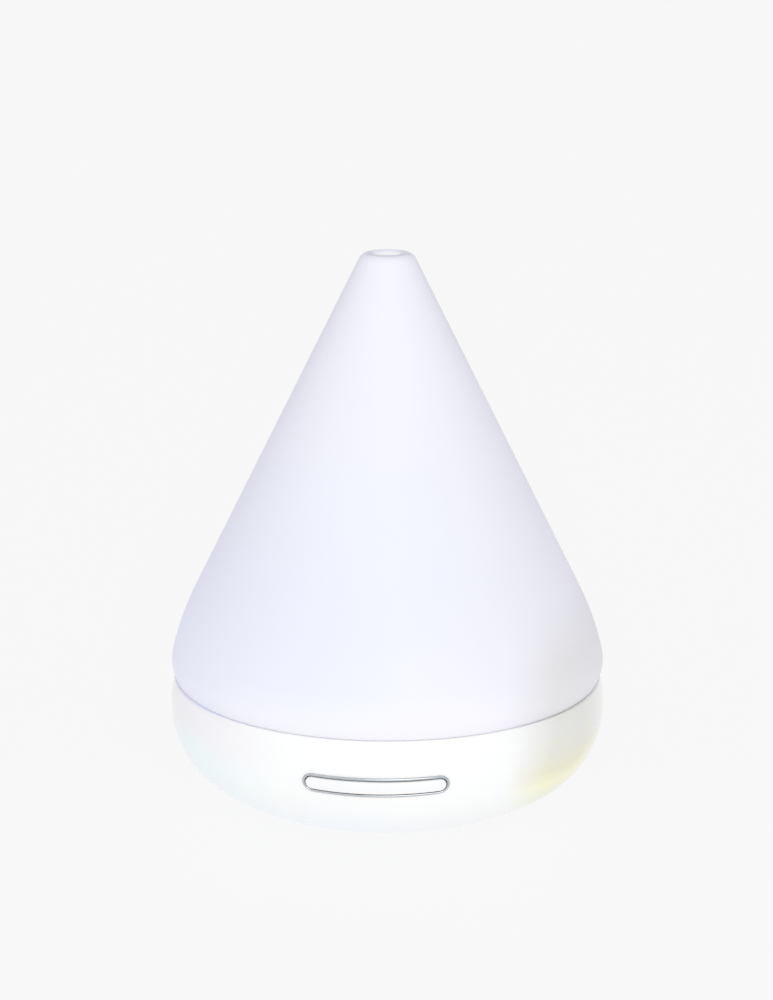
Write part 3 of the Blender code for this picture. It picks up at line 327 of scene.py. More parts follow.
# Floor, in metres, and its own brightness.
FLOOR_R = 12.0
FLOOR_GLOW = 0.955

# Lamp in front of the object, in metres and watts.
LIGHT_PLACE = (0.25, -1.6, 0.8)
LIGHT_AIM = (0, 0, 0.1)
LIGHT_SIZE = 1.0
LIGHT_POWER = 4.5

# Camera: lens and sensor in millimetres, distance and height of the aim in metres.
LENS = 93.95
SENSOR_WIDTH = 36.0
LENS_SHIFT = -0.00095
CAMERA_AZIMUTH = math.radians(3.0)
CAMERA_ELEVATION = math.radians(14.215)
CAMERA_DISTANCE = 1.0
CAMERA_AIM_Z = 0.122

# How strongly the lamps show through the cover, the tank and the chimney.
COVER_GLOW = 0.15
TANK_GLOW = 0.12
CHIMNEY_GLOW = 0.08
LAMP_GLOW = 3.0

# Points closer than this are merged; edges sharper than these angles, in degrees, stay sharp.
MERGE_DISTANCE = 1e-4
SHARP_ANGLE = 32
WRAP_SHARP_ANGLE = 40

# Steps round a circle.
LATHE_STEPS = 192
BOWL_STEPS = 240
TANK_STEPS = 160
MEDIUM_STEPS = 96
SMALL_STEPS = 64
PROBE_STEPS = 48
HOLE_STEPS = 40
POST_STEPS = 32
PEG_STEPS = 24

# Steps along the slot's straight sides and round each of its ends.
SLOT_STRAIGHT_STEPS = 40
SLOT_END_STEPS = 24


# ---------------------------------------------------------------- mesh helpers


def finish_mesh(name, bm, material=None, body=None, replaced=(), angle=SHARP_ANGLE, place=(0, 0, 0),
                direction=UP):
    """Turns a bmesh in millimetres into a smooth piece. It rides on a body unless it is only a tool."""
    bmesh.ops.remove_doubles(bm, verts=bm.verts, dist=MERGE_DISTANCE)
    bmesh.ops.recalc_face_normals(bm, faces=bm.faces)
    turn = UP.rotation_difference(direction).to_matrix().to_4x4()
    bm.transform(Matrix.Scale(MM, 4) @ Matrix.Translation(place) @ turn)
    mesh = bpy.data.meshes.new(name)
    bm.to_mesh(mesh)
    bm.free()
    mesh.shade_smooth()
    mesh.set_sharp_from_angle(angle=math.radians(angle))
    if material:
        mesh.materials.append(material)
    piece = bpy.data.objects.new(name, mesh)
    bpy.context.scene.collection.objects.link(piece)
    if body:
        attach(piece, body)
    if replaced:
        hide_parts(*replaced)
    return piece


def lathe(name, outline, material=None, body=None, replaced=(), steps=LATHE_STEPS, place=(0, 0, 0),
          direction=UP):
    """A body of revolution from (radius, height) points. The outline is closed unless it starts and ends on
    the axis."""
    bm = bmesh.new()
    points = [bm.verts.new((r, 0, z)) for r, z in outline]
    edges = [bm.edges.new(pair) for pair in zip(points, points[1:])]
    if outline[0][0] > 0 or outline[-1][0] > 0:
        edges.append(bm.edges.new((points[-1], points[0])))
    bmesh.ops.spin(
        bm, geom=points + edges, cent=(0, 0, 0), axis=(0, 0, 1), dvec=(0, 0, 0),
        angle=math.tau, steps=steps, use_merge=True,
    )
    return finish_mesh(name, bm, material, body, replaced, SHARP_ANGLE, place, direction)


def rounded(corners, steps=4, closed=True):
    """An outline with its corners (x, y, radius) rounded off."""
    outline = []
    count = len(corners)
    for i, (x, y, radius) in enumerate(corners):
        here = Vector((x, y))
        if not radius or (not closed and i in (0, count - 1)):
            outline.append((x, y))
            continue
        before = Vector(corners[i - 1][:2]) - here
        after = Vector(corners[(i + 1) % count][:2]) - here
        reach = min(radius, before.length * 0.49, after.length * 0.49)
        start = here + before.normalized() * reach
        end = here + after.normalized() * reach
        for k in range(steps + 1):
            t = k / steps
            point = start * (1 - t) ** 2 + here * 2 * t * (1 - t) + end * t ** 2
            outline.append((point.x, point.y))
    return outline


def bar(name, radius, length, place, direction=UP, steps=SMALL_STEPS):
    """A round tool for cutting and joining."""
    outline = [(0, 0), (radius, 0), (radius, length), (0, length)]
    return lathe(name, outline, steps=steps, place=place, direction=direction)


def slab(name, low, high, radius=0.0):
    """A block between two corners, its edges rounded."""
    low = Vector(low)
    high = Vector(high)
    bm = bmesh.new()
    bmesh.ops.create_cube(bm, size=1.0)
    bmesh.ops.scale(bm, vec=high - low, verts=bm.verts)
    bmesh.ops.translate(bm, vec=(low + high) / 2, verts=bm.verts)
    if radius:
        bmesh.ops.bevel(bm, geom=bm.edges[:], offset=radius, segments=3, profile=0.5, affect="EDGES")
    return finish_mesh(name, bm)


def apply_tools(piece, steps):
    """Runs Boolean steps of (operation, tool) on a piece and removes the tools."""
    for operation, tool in steps:
        step = piece.modifiers.new("step", "BOOLEAN")
        step.operation = operation
        step.solver = "EXACT"
        step.object = tool
    bpy.context.view_layer.update()
    graph = bpy.context.evaluated_depsgraph_get()
    done = bpy.data.meshes.new_from_object(piece.evaluated_get(graph))
    piece.modifiers.clear()
    old = piece.data
    name = old.name
    piece.data = done
    bpy.data.meshes.remove(old)
    done.name = name
    done.shade_smooth()
    done.set_sharp_from_angle(angle=math.radians(SHARP_ANGLE))
    for _, tool in steps:
        bpy.data.objects.remove(tool)


def on_circle(radius, angles):
    """(x, y) of points on a circle, at angles in degrees from +X."""
    return [(radius * math.cos(math.radians(a)), radius * math.sin(math.radians(a))) for a in angles]


# ---------------------------------------------------------------- shared curves


def bowl_radius(z, inset=0.0):
    """The bowl skin's radius at a height, inset from its outer face."""
    if z > EQUATOR_Z:
        return BOWL_R - inset - RIM_DROP * ((z - EQUATOR_Z) / (RIM_Z - EQUATOR_Z)) ** 2
    fall = (EQUATOR_Z - z) / (EQUATOR_Z - BOWL_Z - inset)
    return BOWL_FLAT_R + (BOWL_R - inset - BOWL_FLAT_R) * (1 - fall ** BOWL_POWER) ** (1 / BOWL_POWER)


def bowl_curve(low, high, inset, steps):
    """Points up the bowl, closer together where it bends more."""
    heights = [low + (high - low) * (i / steps) ** 1.5 for i in range(steps + 1)]
    return [(bowl_radius(z, inset), z) for z in heights]


def arc(centre, radius, start, end, steps):
    """Points on an arc, its angles measured from +radius towards +height."""
    angles = [start + (end - start) * i / steps for i in range(steps + 1)]
    return [(centre[0] + radius * math.cos(a), centre[1] + radius * math.sin(a)) for a in angles]


def cover_curve(inset, start_z, top_z, fillet):
    """Points up the cover: hip arc, shoulder arc, straight cone, and a fillet into the flat tip."""
    hip = HIP_R - inset
    start = math.asin((start_z - HIP_CENTRE[1]) / hip)
    points = arc(HIP_CENTRE, hip, start, HIP_ANGLE, 14)
    reach = SHOULDER_R - HIP_R
    centre = (HIP_CENTRE[0] - reach * math.cos(HIP_ANGLE), HIP_CENTRE[1] - reach * math.sin(HIP_ANGLE))
    points += arc(centre, SHOULDER_R - inset, HIP_ANGLE, CONE_ANGLE, 16)[1:]
    radius, z = points[-1]
    tip_r = radius - (top_z - z) * math.tan(CONE_ANGLE)
    along = tip_r * math.cos(CONE_ANGLE) + top_z * math.sin(CONE_ANGLE)
    fillet_r = (along - fillet - (top_z - fillet) * math.sin(CONE_ANGLE)) / math.cos(CONE_ANGLE)
    tip = arc((fillet_r, top_z - fillet), fillet, CONE_ANGLE, math.pi / 2, 8)
    cone_steps = 24
    for i in range(1, cone_steps):
        t = i / cone_steps
        points.append((radius + (tip[0][0] - radius) * t, z + (tip[0][1] - z) * t))
    return points + tip


def on_bowl(along, above, lift):
    """A point over the bowl's front: along its width, above the key's centre line, lifted off its skin."""
    outward = (along / BEZEL_HALF_LENGTH) ** 2
    z = KEY_Z + above * (1 - SLOT_TAPER * outward) + SLOT_BOW * outward
    angle = along / KEY_WRAP_R
    radius = bowl_radius(z) + lift
    return (radius * math.sin(angle), -radius * math.cos(angle), z)


def slot_outline(inset):
    """A slot with round ends in (along, above), inset from the bezel's outer edge."""
    half = BEZEL_HALF_LENGTH - BEZEL_HALF_HEIGHT
    radius = BEZEL_HALF_HEIGHT - inset
    outline = []
    for side in (1, -1):
        for i in range(SLOT_STRAIGHT_STEPS):
            outline.append((side * half * (2 * i / SLOT_STRAIGHT_STEPS - 1), -side * radius))
        for i in range(SLOT_END_STEPS):
            angle = -side * math.pi / 2 + math.pi * i / SLOT_END_STEPS
            outline.append((side * half + radius * math.cos(angle), radius * math.sin(angle)))
    return outline


def slot_loops(bm, section):
    """Loops of vertices round the slot, one for each (inset, lift) of a section."""
    loops = []
    for inset, lift in section:
        loops.append([bm.verts.new(on_bowl(u, v, lift)) for u, v in slot_outline(inset)])
    return loops


def bridge(bm, a, b):
    """Quads between two loops of vertices."""
    for i in range(len(a)):
        j = (i + 1) % len(a)
        bm.faces.new((a[i], a[j], b[j], b[i]))


def wrapped_ring(name, section, material, body, replaced):
    """A frame that follows the slot round the bowl; its section is a list of (inset, lift)."""
    bm = bmesh.new()
    loops = slot_loops(bm, section)
    for a, b in zip(loops, loops[1:] + loops[:1]):
        bridge(bm, a, b)
    return finish_mesh(name, bm, material, body, replaced)


def wrapped_plate(name, layers, material=None, body=None, replaced=()):
    """A plate with round ends, wrapped round the bowl: its skin is a stack of slot outlines given as
    (inset, lift), and it is closed by a flat strip at each end of the stack."""
    bm = bmesh.new()
    loops = slot_loops(bm, layers)
    for a, b in zip(loops, loops[1:]):
        bridge(bm, a, b)
    for loop in (loops[0], loops[-1]):
        close_slot(bm, loop)
    return finish_mesh(name, bm, material, body, replaced, WRAP_SHARP_ANGLE)


def close_slot(bm, loop):
    """Fills a slot-shaped loop with quads between its lower and upper halves."""
    half = len(loop) // 2
    start = SLOT_STRAIGHT_STEPS + SLOT_END_STEPS // 2
    ring = loop[start:] + loop[:start]
    for i in range(half):
        a, b = ring[i], ring[i + 1]
        c, d = ring[len(ring) - i - 1], ring[(len(ring) - i) % len(ring)]
        corners = []
        for vert in (a, b, c, d):
            if vert not in corners:
                corners.append(vert)
        if len(corners) > 2:
            bm.faces.new(corners)


# ---------------------------------------------------------------- materials


RANGE_SOCKETS = ("From Min", "From Max", "To Min", "To Max")


class Look:
    """A Principled material with procedural nodes in object coordinates, in metres."""

    def __init__(self, name, colour, roughness, metallic=0.0, **sockets):
        self.material = bpy.data.materials.new(name)
        self.material.use_nodes = True
        self.tree = self.material.node_tree
        self.shader = self.tree.nodes["Principled BSDF"]
        self.set(self.shader, "Base Color", (*colour, 1.0))
        self.set(self.shader, "Roughness", roughness)
        self.set(self.shader, "Metallic", metallic)
        for socket, value in sockets.items():
            self.set(self.shader, socket.replace("_", " "), value)
        self.place = self.tree.nodes.new("ShaderNodeTexCoord").outputs["Object"]

    def set(self, node, socket, value):
        node.inputs[socket].default_value = value

    def link(self, out, node, socket):
        self.tree.links.new(out, node.inputs[socket])

    def noise(self, scale, detail=3.0, stretch=None):
        """Noise with a pattern size of about 1/scale metres."""
        node = self.tree.nodes.new("ShaderNodeTexNoise")
        self.set(node, "Scale", scale)
        self.set(node, "Detail", detail)
        place = self.place
        if stretch:
            mapping = self.tree.nodes.new("ShaderNodeMapping")
            self.set(mapping, "Scale", stretch)
            self.link(place, mapping, "Vector")
            place = mapping.outputs["Vector"]
        self.link(place, node, "Vector")
        return node.outputs["Fac"]

    def axis(self, letter):
        """One object coordinate."""
        node = self.tree.nodes.new("ShaderNodeSeparateXYZ")
        self.link(self.place, node, "Vector")
        return node.outputs[letter]

    def spread(self, value, low, high, to_low=0.0, to_high=1.0):
        """Maps a value from one range to another, clamped."""
        node = self.tree.nodes.new("ShaderNodeMapRange")
        self.link(value, node, "Value")
        for socket, number in zip(RANGE_SOCKETS, (low, high, to_low, to_high)):
            self.set(node, socket, number)
        return node.outputs["Result"]

    def ramp(self, value, stops):
        """A colour ramp from (position, colour) stops."""
        node = self.tree.nodes.new("ShaderNodeValToRGB")
        self.link(value, node, "Fac")
        elements = node.color_ramp.elements
        while len(elements) < len(stops):
            elements.new(0.5)
        for element, (position, colour) in zip(elements, stops):
            element.position = position
            element.color = (*colour, 1.0)
        return node.outputs["Color"]

    def maths(self, operation, a, b):
        node = self.tree.nodes.new("ShaderNodeMath")
        node.operation = operation
        for i, value in enumerate((a, b)):
            if isinstance(value, (int, float)):
                node.inputs[i].default_value = value
            else:
                self.tree.links.new(value, node.inputs[i])
        return node.outputs["Value"]

    def mix(self, factor, a, b):
        """Blends from one colour to another; a colour is a socket or three numbers."""
        node = self.tree.nodes.new("ShaderNodeMix")
        node.data_type = "RGBA"
        self.link(factor, node, "Factor")
        for socket, value in ((node.inputs[6], a), (node.inputs[7], b)):
            if isinstance(value, tuple):
                socket.default_value = (*value, 1.0)
            else:
                self.tree.links.new(value, socket)
        return node.outputs[2]

    def product(self, *values):
        result = values[0]
        for value in values[1:]:
            result = self.maths("MULTIPLY", result, value)
        return result

    def bump(self, height, strength, distance):
        node = self.tree.nodes.new("ShaderNodeBump")
        self.set(node, "Strength", strength)
        self.set(node, "Distance", distance)
        self.link(height, node, "Height")
        self.link(node.outputs["Normal"], self.shader, "Normal")

    def colour(self, out):
        self.link(out, self.shader, "Base Color")

    def roughness(self, out):
        self.link(out, self.shader, "Roughness")


def tint(colour, by):
    return tuple(min(channel * by, 1.0) for channel in colour)


def moulded(name, colour, roughness, grain, depth=0.00003):
    """Moulded plastic: faint colour drift, roughness drift and a fine skin texture."""
    made = Look(name, colour, roughness)
    drift = made.noise(28.0, 2.0)
    made.colour(made.ramp(drift, [(0.3, tint(colour, 0.975)), (0.7, colour)]))
    made.roughness(made.spread(made.noise(160.0, 3.0), 0.3, 0.7, roughness * 0.85, roughness * 1.15))
    made.bump(made.noise(grain, 4.0), 0.25, depth)
    return made.material


def metal(name, colour, roughness, stretch, scale, depth=0.00001):
    """Bare or plated metal, its roughness drawn out along one direction."""
    made = Look(name, colour, roughness, 1.0)
    grain = made.noise(scale, 4.0, stretch)
    made.colour(made.ramp(made.noise(60.0), [(0.3, tint(colour, 0.94)), (0.7, colour)]))
    made.roughness(made.spread(grain, 0.3, 0.7, roughness * 0.7, roughness * 1.3))
    made.bump(grain, 0.15, depth)
    return made.material


def frosted_cover_look():
    """Frosted white plastic with the lamp ring behind its foot: the glow is cool on the left, cyan-white in
    the middle, rosier on the right and towards the tip, and strongest just above the rim. Low on the right,
    painted shade darkens both its colour and its glow."""
    made = Look("frosted_cover", (0.8, 0.805, 0.845), 0.5)
    x, z = made.axis("X"), made.axis("Z")
    cloud = made.noise(14.0, 2.0)
    drift = made.spread(cloud, 0.3, 0.7, -0.012, 0.012)
    across = made.spread(made.maths("ADD", x, drift), -0.075, 0.075)
    up = made.spread(made.maths("ADD", z, drift), 0.1, 0.17)
    middle = made.mix(up, (0.07, 0.2, 0.53), (0.28, 0.28, 0.5))
    glow = made.mix(made.spread(across, 0.0, 0.5), (0.27, 0.36, 0.83), middle)
    glow = made.mix(made.spread(across, 0.5, 0.9), glow, (0.42, 0.36, 0.66))
    front = made.spread(made.axis("Y"), -0.05, -0.075)
    glow = made.mix(made.product(made.spread(z, 0.07, 0.054), front), glow, (0.66, 0.58, 0.68))
    # Painted shade low on the right: this mask darkens the glow and the white colour there.
    to_right = made.product(made.spread(x, 0.046, 0.064), made.spread(z, 0.094, 0.072))
    dim = made.product(to_right, made.spread(x, 0.09, 0.07, 0.4, 1.0))
    glow = made.mix(dim, glow, (0.02, 0.0, 0.0))
    made.link(glow, made.shader, "Emission Color")
    made.set(made.shader, "Emission Strength", COVER_GLOW)
    white = made.ramp(cloud, [(0.3, (0.79, 0.8, 0.84)), (0.7, (0.81, 0.81, 0.855))])
    made.colour(made.mix(dim, white, (0.775, 0.775, 0.8)))
    made.roughness(made.spread(made.noise(240.0), 0.3, 0.7, 0.46, 0.56))
    made.bump(made.noise(1600.0, 3.0), 0.3, 0.00004)
    return made.material


def milky_clear_look():
    """Milky plastic with faint flow marks. It carries the lamps' light in the tank and up in the chimney."""
    colour = (0.925, 0.935, 0.945)
    made = Look("milky_clear", colour, 0.3, IOR=1.49)
    flow = made.noise(22.0, 2.0, (1.0, 1.0, 0.35))
    made.colour(made.ramp(flow, [(0.3, tint(colour, 0.985)), (0.7, colour)]))
    made.set(made.shader, "Emission Color", (0.88, 0.87, 0.92, 1.0))
    strength = made.spread(made.axis("Z"), 0.06, 0.12, TANK_GLOW, CHIMNEY_GLOW)
    made.link(strength, made.shader, "Emission Strength")
    made.roughness(made.spread(made.noise(120.0, 2.0), 0.3, 0.7, 0.27, 0.33))
    made.bump(made.noise(260.0, 2.0), 0.08, 0.00002)
    return made.material


def gloss_white_look():
    """High-gloss white with the faint waviness of a moulding. Its colour carries painted light in the lamps'
    colours:
    cool on the lower left and low at the front, straw and pale green on the lower right, where shade is
    painted too."""
    made = Look("gloss_white", (0.92, 0.93, 0.935), 0.14)
    x, z = made.axis("X"), made.axis("Z")
    cloud = made.noise(18.0, 2.0)
    drift = made.spread(cloud, 0.3, 0.7, -0.006, 0.006)
    height = made.maths("ADD", z, drift)
    front = made.spread(made.axis("Y"), 0.03, -0.015)
    white = made.ramp(cloud, [(0.3, (0.915, 0.925, 0.93)), (0.7, (0.93, 0.935, 0.94))])
    # Painted cool light on the lower left: cyan below the key's height, lavender above.
    cool = made.mix(made.spread(height, 0.036, 0.046), (0.875, 0.95, 0.975), (0.91, 0.9, 0.94))
    left = made.product(made.spread(x, -0.035, -0.062), front)
    # Painted shade and painted straw and pale green light on the lower right, changing with height.
    painted_warm_light_and_shade = made.ramp(made.spread(height, 0.0, 0.06), [
        (0.05, (0.85, 0.88, 0.81)), (0.4, (0.79, 0.855, 0.62)), (0.52, (0.93, 0.91, 0.6)),
        (0.62, (0.79, 0.76, 0.56)), (0.7, (0.765, 0.755, 0.65)), (0.8, (0.745, 0.755, 0.72))])
    # Where the painted shade and warm light go: the front of the right side.
    side = made.spread(made.axis("Y"), -0.006, -0.036)
    right = made.product(made.spread(made.maths("ADD", x, drift), 0.05, 0.066, 0.0, 0.9), side)
    # Painted cool light low at the front.
    painted_low_front_light = made.product(made.spread(height, 0.026, 0.012), made.spread(x, 0.04, 0.015))
    white = made.mix(painted_low_front_light, white, (0.9, 0.94, 0.99))
    made.colour(made.mix(right, made.mix(left, white, cool), painted_warm_light_and_shade))
    made.roughness(made.spread(made.noise(220.0, 3.0), 0.3, 0.7, 0.11, 0.18))
    made.bump(made.noise(70.0, 2.0), 0.12, 0.0001)
    return made.material


def lamp_look():
    made = Look("led_lens", (0.95, 0.94, 0.85), 0.12)
    made.colour(made.ramp(made.noise(900.0), [(0.3, (0.92, 0.92, 0.84)), (0.7, (0.97, 0.96, 0.9))]))
    made.set(made.shader, "Emission Color", (0.7, 0.82, 1.0, 1.0))
    made.set(made.shader, "Emission Strength", LAMP_GLOW)
    return made.material


def circuit_look():
    """Green solder mask with copper tracks showing through and a fine board texture."""
    made = Look("circuit_board", (0.02, 0.16, 0.07), 0.35)
    tracks = made.tree.nodes.new("ShaderNodeTexVoronoi")
    tracks.feature = "DISTANCE_TO_EDGE"
    made.set(tracks, "Scale", 420.0)
    made.link(made.place, tracks, "Vector")
    edge = tracks.outputs["Distance"]
    track = (0.06, 0.34, 0.14)
    made.colour(made.ramp(edge, [(0.0, track), (0.06, track), (0.09, (0.015, 0.13, 0.06))]))
    made.roughness(made.spread(made.noise(700.0), 0.3, 0.7, 0.25, 0.4))
    made.bump(edge, 0.3, 0.00003)
    return made.material


def winding_look():
    """Enamelled copper wire wound round a core."""
    made = Look("copper_winding", (0.6, 0.28, 0.14), 0.3, 1.0)
    turns = made.tree.nodes.new("ShaderNodeTexWave")
    turns.bands_direction = "Z"
    made.set(turns, "Scale", 500.0)
    made.link(made.place, turns, "Vector")
    out = turns.outputs["Fac"]
    made.colour(made.ramp(out, [(0.1, (0.3, 0.11, 0.05)), (0.6, (0.66, 0.31, 0.15))]))
    made.bump(out, 0.6, 0.0002)
    return made.material


def disc_look():
    """Silvered transducer face with its concentric electrode edge."""
    made = Look("transducer_disc", (0.8, 0.79, 0.76), 0.25, 1.0)
    grain = made.noise(900.0, 3.0)
    made.colour(made.ramp(grain, [(0.3, (0.72, 0.7, 0.64)), (0.7, (0.84, 0.83, 0.8))]))
    made.roughness(made.spread(grain, 0.3, 0.7, 0.18, 0.34))
    made.bump(grain, 0.2, 0.00002)
    return made.material


def make_looks():
    """The material of each record slot."""
    return {
        "frosted_cover": frosted_cover_look(),
        "gloss_white": gloss_white_look(),
        "milky_clear": milky_clear_look(),
        "chrome_trim": metal("chrome_trim", (0.55, 0.58, 0.61), 0.1, (1, 1, 1), 300.0, 0.000004),
        "satin_white": moulded("satin_white", (0.9, 0.905, 0.915), 0.3, 1100.0, 0.00002),
        "silicone": moulded("silicone", (0.8, 0.8, 0.8), 0.6, 1400.0),
        "rubber_foot": moulded("rubber_foot", (0.82, 0.82, 0.82), 0.7, 1300.0),
        "steel": metal("steel", (0.66, 0.67, 0.69), 0.3, (1, 1, 12), 900.0),
        "transducer_disc": disc_look(),
        "circuit_board": circuit_look(),
        "black_plastic": moulded("black_plastic", (0.025, 0.025, 0.028), 0.38, 1200.0),
        "fan_plastic": moulded("fan_plastic", (0.06, 0.06, 0.065), 0.35, 1200.0),
        "led_lens": lamp_look(),
        "copper_winding": winding_look(),
        "capacitor_sleeve": moulded("capacitor_sleeve", (0.03, 0.06, 0.2), 0.3, 900.0),
        "lead_white": moulded("lead_white", (0.86, 0.86, 0.86), 0.45, 1500.0),
        "lead_red": moulded("lead_red", (0.5, 0.03, 0.025), 0.45, 1500.0),
        "lead_black": moulded("lead_black", (0.03, 0.03, 0.032), 0.45, 1500.0),
    }


def dress_cad_nodes(looks):
    """Every CAD node that stays gets its slot's material."""
    for entry in frame["record"]["subparts"]:
        node = frame["nodes"][entry["node"]]
        node.data.materials.clear()
        node.data.materials.append(looks[entry["material_slot"]])
        node.data.shade_smooth()
        node.data.set_sharp_from_angle(angle=math.radians(SHARP_ANGLE))


# ---------------------------------------------------------------- cover


def make_cover(looks):
    foot_z = COVER_EDGE_Z - COVER_DROP
    under_top = COVER_TOP_Z - COVER_WALL
    outer = cover_curve(0.0, foot_z + COVER_FOOT_ROLL_H, COVER_TOP_Z, TIP_FILLET_R)
    inner = cover_curve(COVER_WALL, COVER_EDGE_Z + COVER_SEAT_H, under_top, TIP_INSIDE_FILLET_R)
    lip = rounded([
        (OUTLET_R + OUTLET_LIP_W, COVER_TOP_Z, 0), (OUTLET_R, COVER_TOP_Z, 0.6),
        (OUTLET_R, under_top, 0.2), (OUTLET_R + OUTLET_INSIDE_LIP_W, under_top, 0),
    ], 5, False)
    edge = outer[0]
    seat = rounded([
        (COVER_SEAT_R + COVER_SEAT_FLARE, COVER_EDGE_Z + COVER_SEAT_BEND_H, 0), (COVER_SEAT_R, foot_z, 0.3),
        (edge[0] - COVER_FOOT_ROLL_R, foot_z, 0.15), (*edge, 0),
    ], 3, False)[:-1]
    outline = outer[:-1] + lip + inner[::-1] + seat
    cover = lathe("cover_skin", outline, looks["frosted_cover"], "cover", ("outer_cover",))


def make_mist_guide(looks):
    top = GUIDE_HIGH.z
    low = GUIDE_LOW.z
    mouth = GUIDE_HIGH.x
    collar = COVER_TOP_Z - COVER_WALL - GAP
    under_collar = collar - GUIDE_COLLAR_H
    corners = [
        (GUIDE_R, top, 0.4), (GUIDE_R, collar, 0.2), (GUIDE_COLLAR_R, collar, 0.3),
        (GUIDE_COLLAR_R, under_collar, 0.4), (GUIDE_FLARE[0][0], under_collar, 0.4), *GUIDE_FLARE,
        (mouth, low + GUIDE_MOUTH_WALL, 0.5), (mouth, low, 0.5), *GUIDE_FLARE_BORE, (GUIDE_BORE_R, top, 0.4),
    ]
    outline = rounded(corners, 6)
    guide = lathe("mist_chimney", outline, looks["milky_clear"], "cover", ("mist_guide",), MEDIUM_STEPS)


# ---------------------------------------------------------------- bowl, bezel and key


def make_bowl(looks):
    flange = PLATE_HIGH.z + GAP
    flange_top = flange + OPENING_LIP_H
    opening_top = OPENING_Z + OPENING_ROLL_H
    rim_low = RIM_Z - RIM_ROLL_H
    ledge_under = LEDGE_Z - LEDGE_T
    outline = bowl_curve(opening_top, rim_low, 0.0, 48)
    outline += rounded([
        (bowl_radius(rim_low), rim_low, 0), (bowl_radius(RIM_Z), RIM_Z, 0.45),
        (RIM_INNER_R, RIM_Z, 0.3), (RIM_INNER_R, LEDGE_Z, 0.3),
    ], 6, False)[1:]
    outline += rounded([
        (RIM_INNER_R, LEDGE_Z, 0), (LEDGE_R, LEDGE_Z, 0.4), (LEDGE_R, ledge_under, 0.4),
        (LEDGE_ROOT_R, ledge_under, 0),
    ], 4, False)[1:]
    outline += bowl_curve(flange_top, EQUATOR_Z, BOWL_WALL, 24)[::-1]
    outline += rounded([
        (bowl_radius(flange_top, BOWL_WALL), flange_top, 0), (OPENING_LIP_R, flange_top, 0.4),
        (OPENING_LIP_R, flange, 0.3), (OPENING_R, flange, 0.2), (OPENING_R, OPENING_Z, 0.4),
        (bowl_radius(opening_top), opening_top, 0),
    ], 4, False)[1:-1]
    bowl = lathe("bowl_skin", outline, looks["gloss_white"], "root", ("base_shell",), BOWL_STEPS)
    apply_tools(bowl, button_post_steps() + inlet_steps() + [
        ("DIFFERENCE", wrapped_plate("slot", [(SLOT_INSET, -2 * BOWL_WALL), (SLOT_INSET, BOWL_WALL)])),
    ])


def button_post_steps():
    """Two posts with screw holes for the button board, grown from the inside of the bowl."""
    z = BUTTON_SCREW_Z
    root_y = -math.sqrt(bowl_radius(z, BUTTON_POST_INSET) ** 2 - BUTTON_SCREW_X ** 2)
    end_y = BUTTON_BOARD_Y - GAP
    steps = []
    for side in (-1, 1):
        x = side * BUTTON_SCREW_X
        post = bar("post", BUTTON_POST_R, end_y - root_y, (x, root_y, z), BACK, POST_STEPS)
        hole_l = BUTTON_HOLE_L + PAST / 2
        hole = bar("hole", BUTTON_HOLE_R, hole_l, (x, end_y - BUTTON_HOLE_L, z), BACK, POST_STEPS)
        steps += [("UNION", post), ("DIFFERENCE", hole)]
    return steps


def inlet_steps():
    """The shelf under the power inlet, and the hole for the inlet's nose."""
    top = JACK_Z - JACK_HALF - GAP
    low = (-SHELF_HALF_WIDTH, SHELF_FRONT_Y, top - SHELF_T)
    high = (SHELF_HALF_WIDTH, bowl_radius(top) - SHELF_INSET, top)
    hole = bar("inlet", JACK_NOSE_R + INLET_CLEARANCE, INLET_CUT_L, (0, INLET_CUT_Y, JACK_Z), BACK)
    return [("UNION", slab("shelf", low, high)), ("DIFFERENCE", hole)]


def make_bezel(looks):
    sleeve = BEZEL_WIDTH - BEZEL_SLEEVE
    corners = [
        (0.0, BEZEL_LIP, 0.08), (0.0, BEZEL_CREST * 0.55, 0.4), (BEZEL_WIDTH * 0.45, BEZEL_CREST, 0.4),
        (BEZEL_WIDTH, BEZEL_CREST * 0.6, 0.3), (BEZEL_WIDTH, -BEZEL_DEPTH, 0.1), (sleeve, -BEZEL_DEPTH, 0.1),
        (sleeve, BEZEL_LIP, 0.05),
    ]
    bezel = wrapped_ring("key_frame", rounded(corners, 5), looks["chrome_trim"], "root", ("bezel",))


def make_key(looks):
    inset = BEZEL_WIDTH + KEY_GAP
    half = BEZEL_HALF_HEIGHT - inset
    back = KEY_LIFT - KEY_THICKNESS
    shoulder = KEY_LIFT - KEY_EDGE_R
    layers = [(inset + KEY_BACK_BEVEL, back), (inset, back + KEY_BACK_BEVEL), (inset, shoulder)]
    turn_steps = 8
    for i in range(1, turn_steps + 1):
        angle = math.pi / 2 * i / turn_steps
        lift = shoulder + (KEY_EDGE_R - KEY_CROWN_EDGE) * math.sin(angle)
        layers.append((inset + KEY_EDGE_R * (1 - math.cos(angle)), lift))
    layers += [(inset + further, KEY_LIFT - fall) for further, fall in KEY_CROWN]
    key = wrapped_plate("key_cap", layers, looks["satin_white"], "key", ("key",))

    x, y, z = KEY_PIVOT
    root = KEY_WRAP_R + back + KEY_ROOT
    web_half = half - KEY_WEB_TRIM
    web = slab("web", (-KEY_WEB_HALF_WIDTH, -root, z - web_half), (KEY_WEB_HALF_WIDTH, y, z + web_half))
    steps = [
        ("UNION", web),
        ("UNION", bar("boss", KEY_BOSS_R, 2 * half, (x, y, z - half), UP, HOLE_STEPS)),
        ("DIFFERENCE", bar("bore", PIN_HOLE_R, PIN_CUT_L, (x, y, z - PIN_CUT_L / 2), UP, HOLE_STEPS)),
    ]
    leg_root = -math.sqrt(root ** 2 - LEG_X ** 2)
    for side in (-1, 1):
        middle = side * LEG_X
        low = (middle - LEG_HALF_WIDTH, leg_root, z - LEG_HALF_HEIGHT)
        high = (middle + LEG_HALF_WIDTH, LEG_TIP_Y, z + LEG_HALF_HEIGHT)
        steps.append(("UNION", slab("leg", low, high, LEG_EDGE_R)))
    apply_tools(key, steps)


# ---------------------------------------------------------------- tank


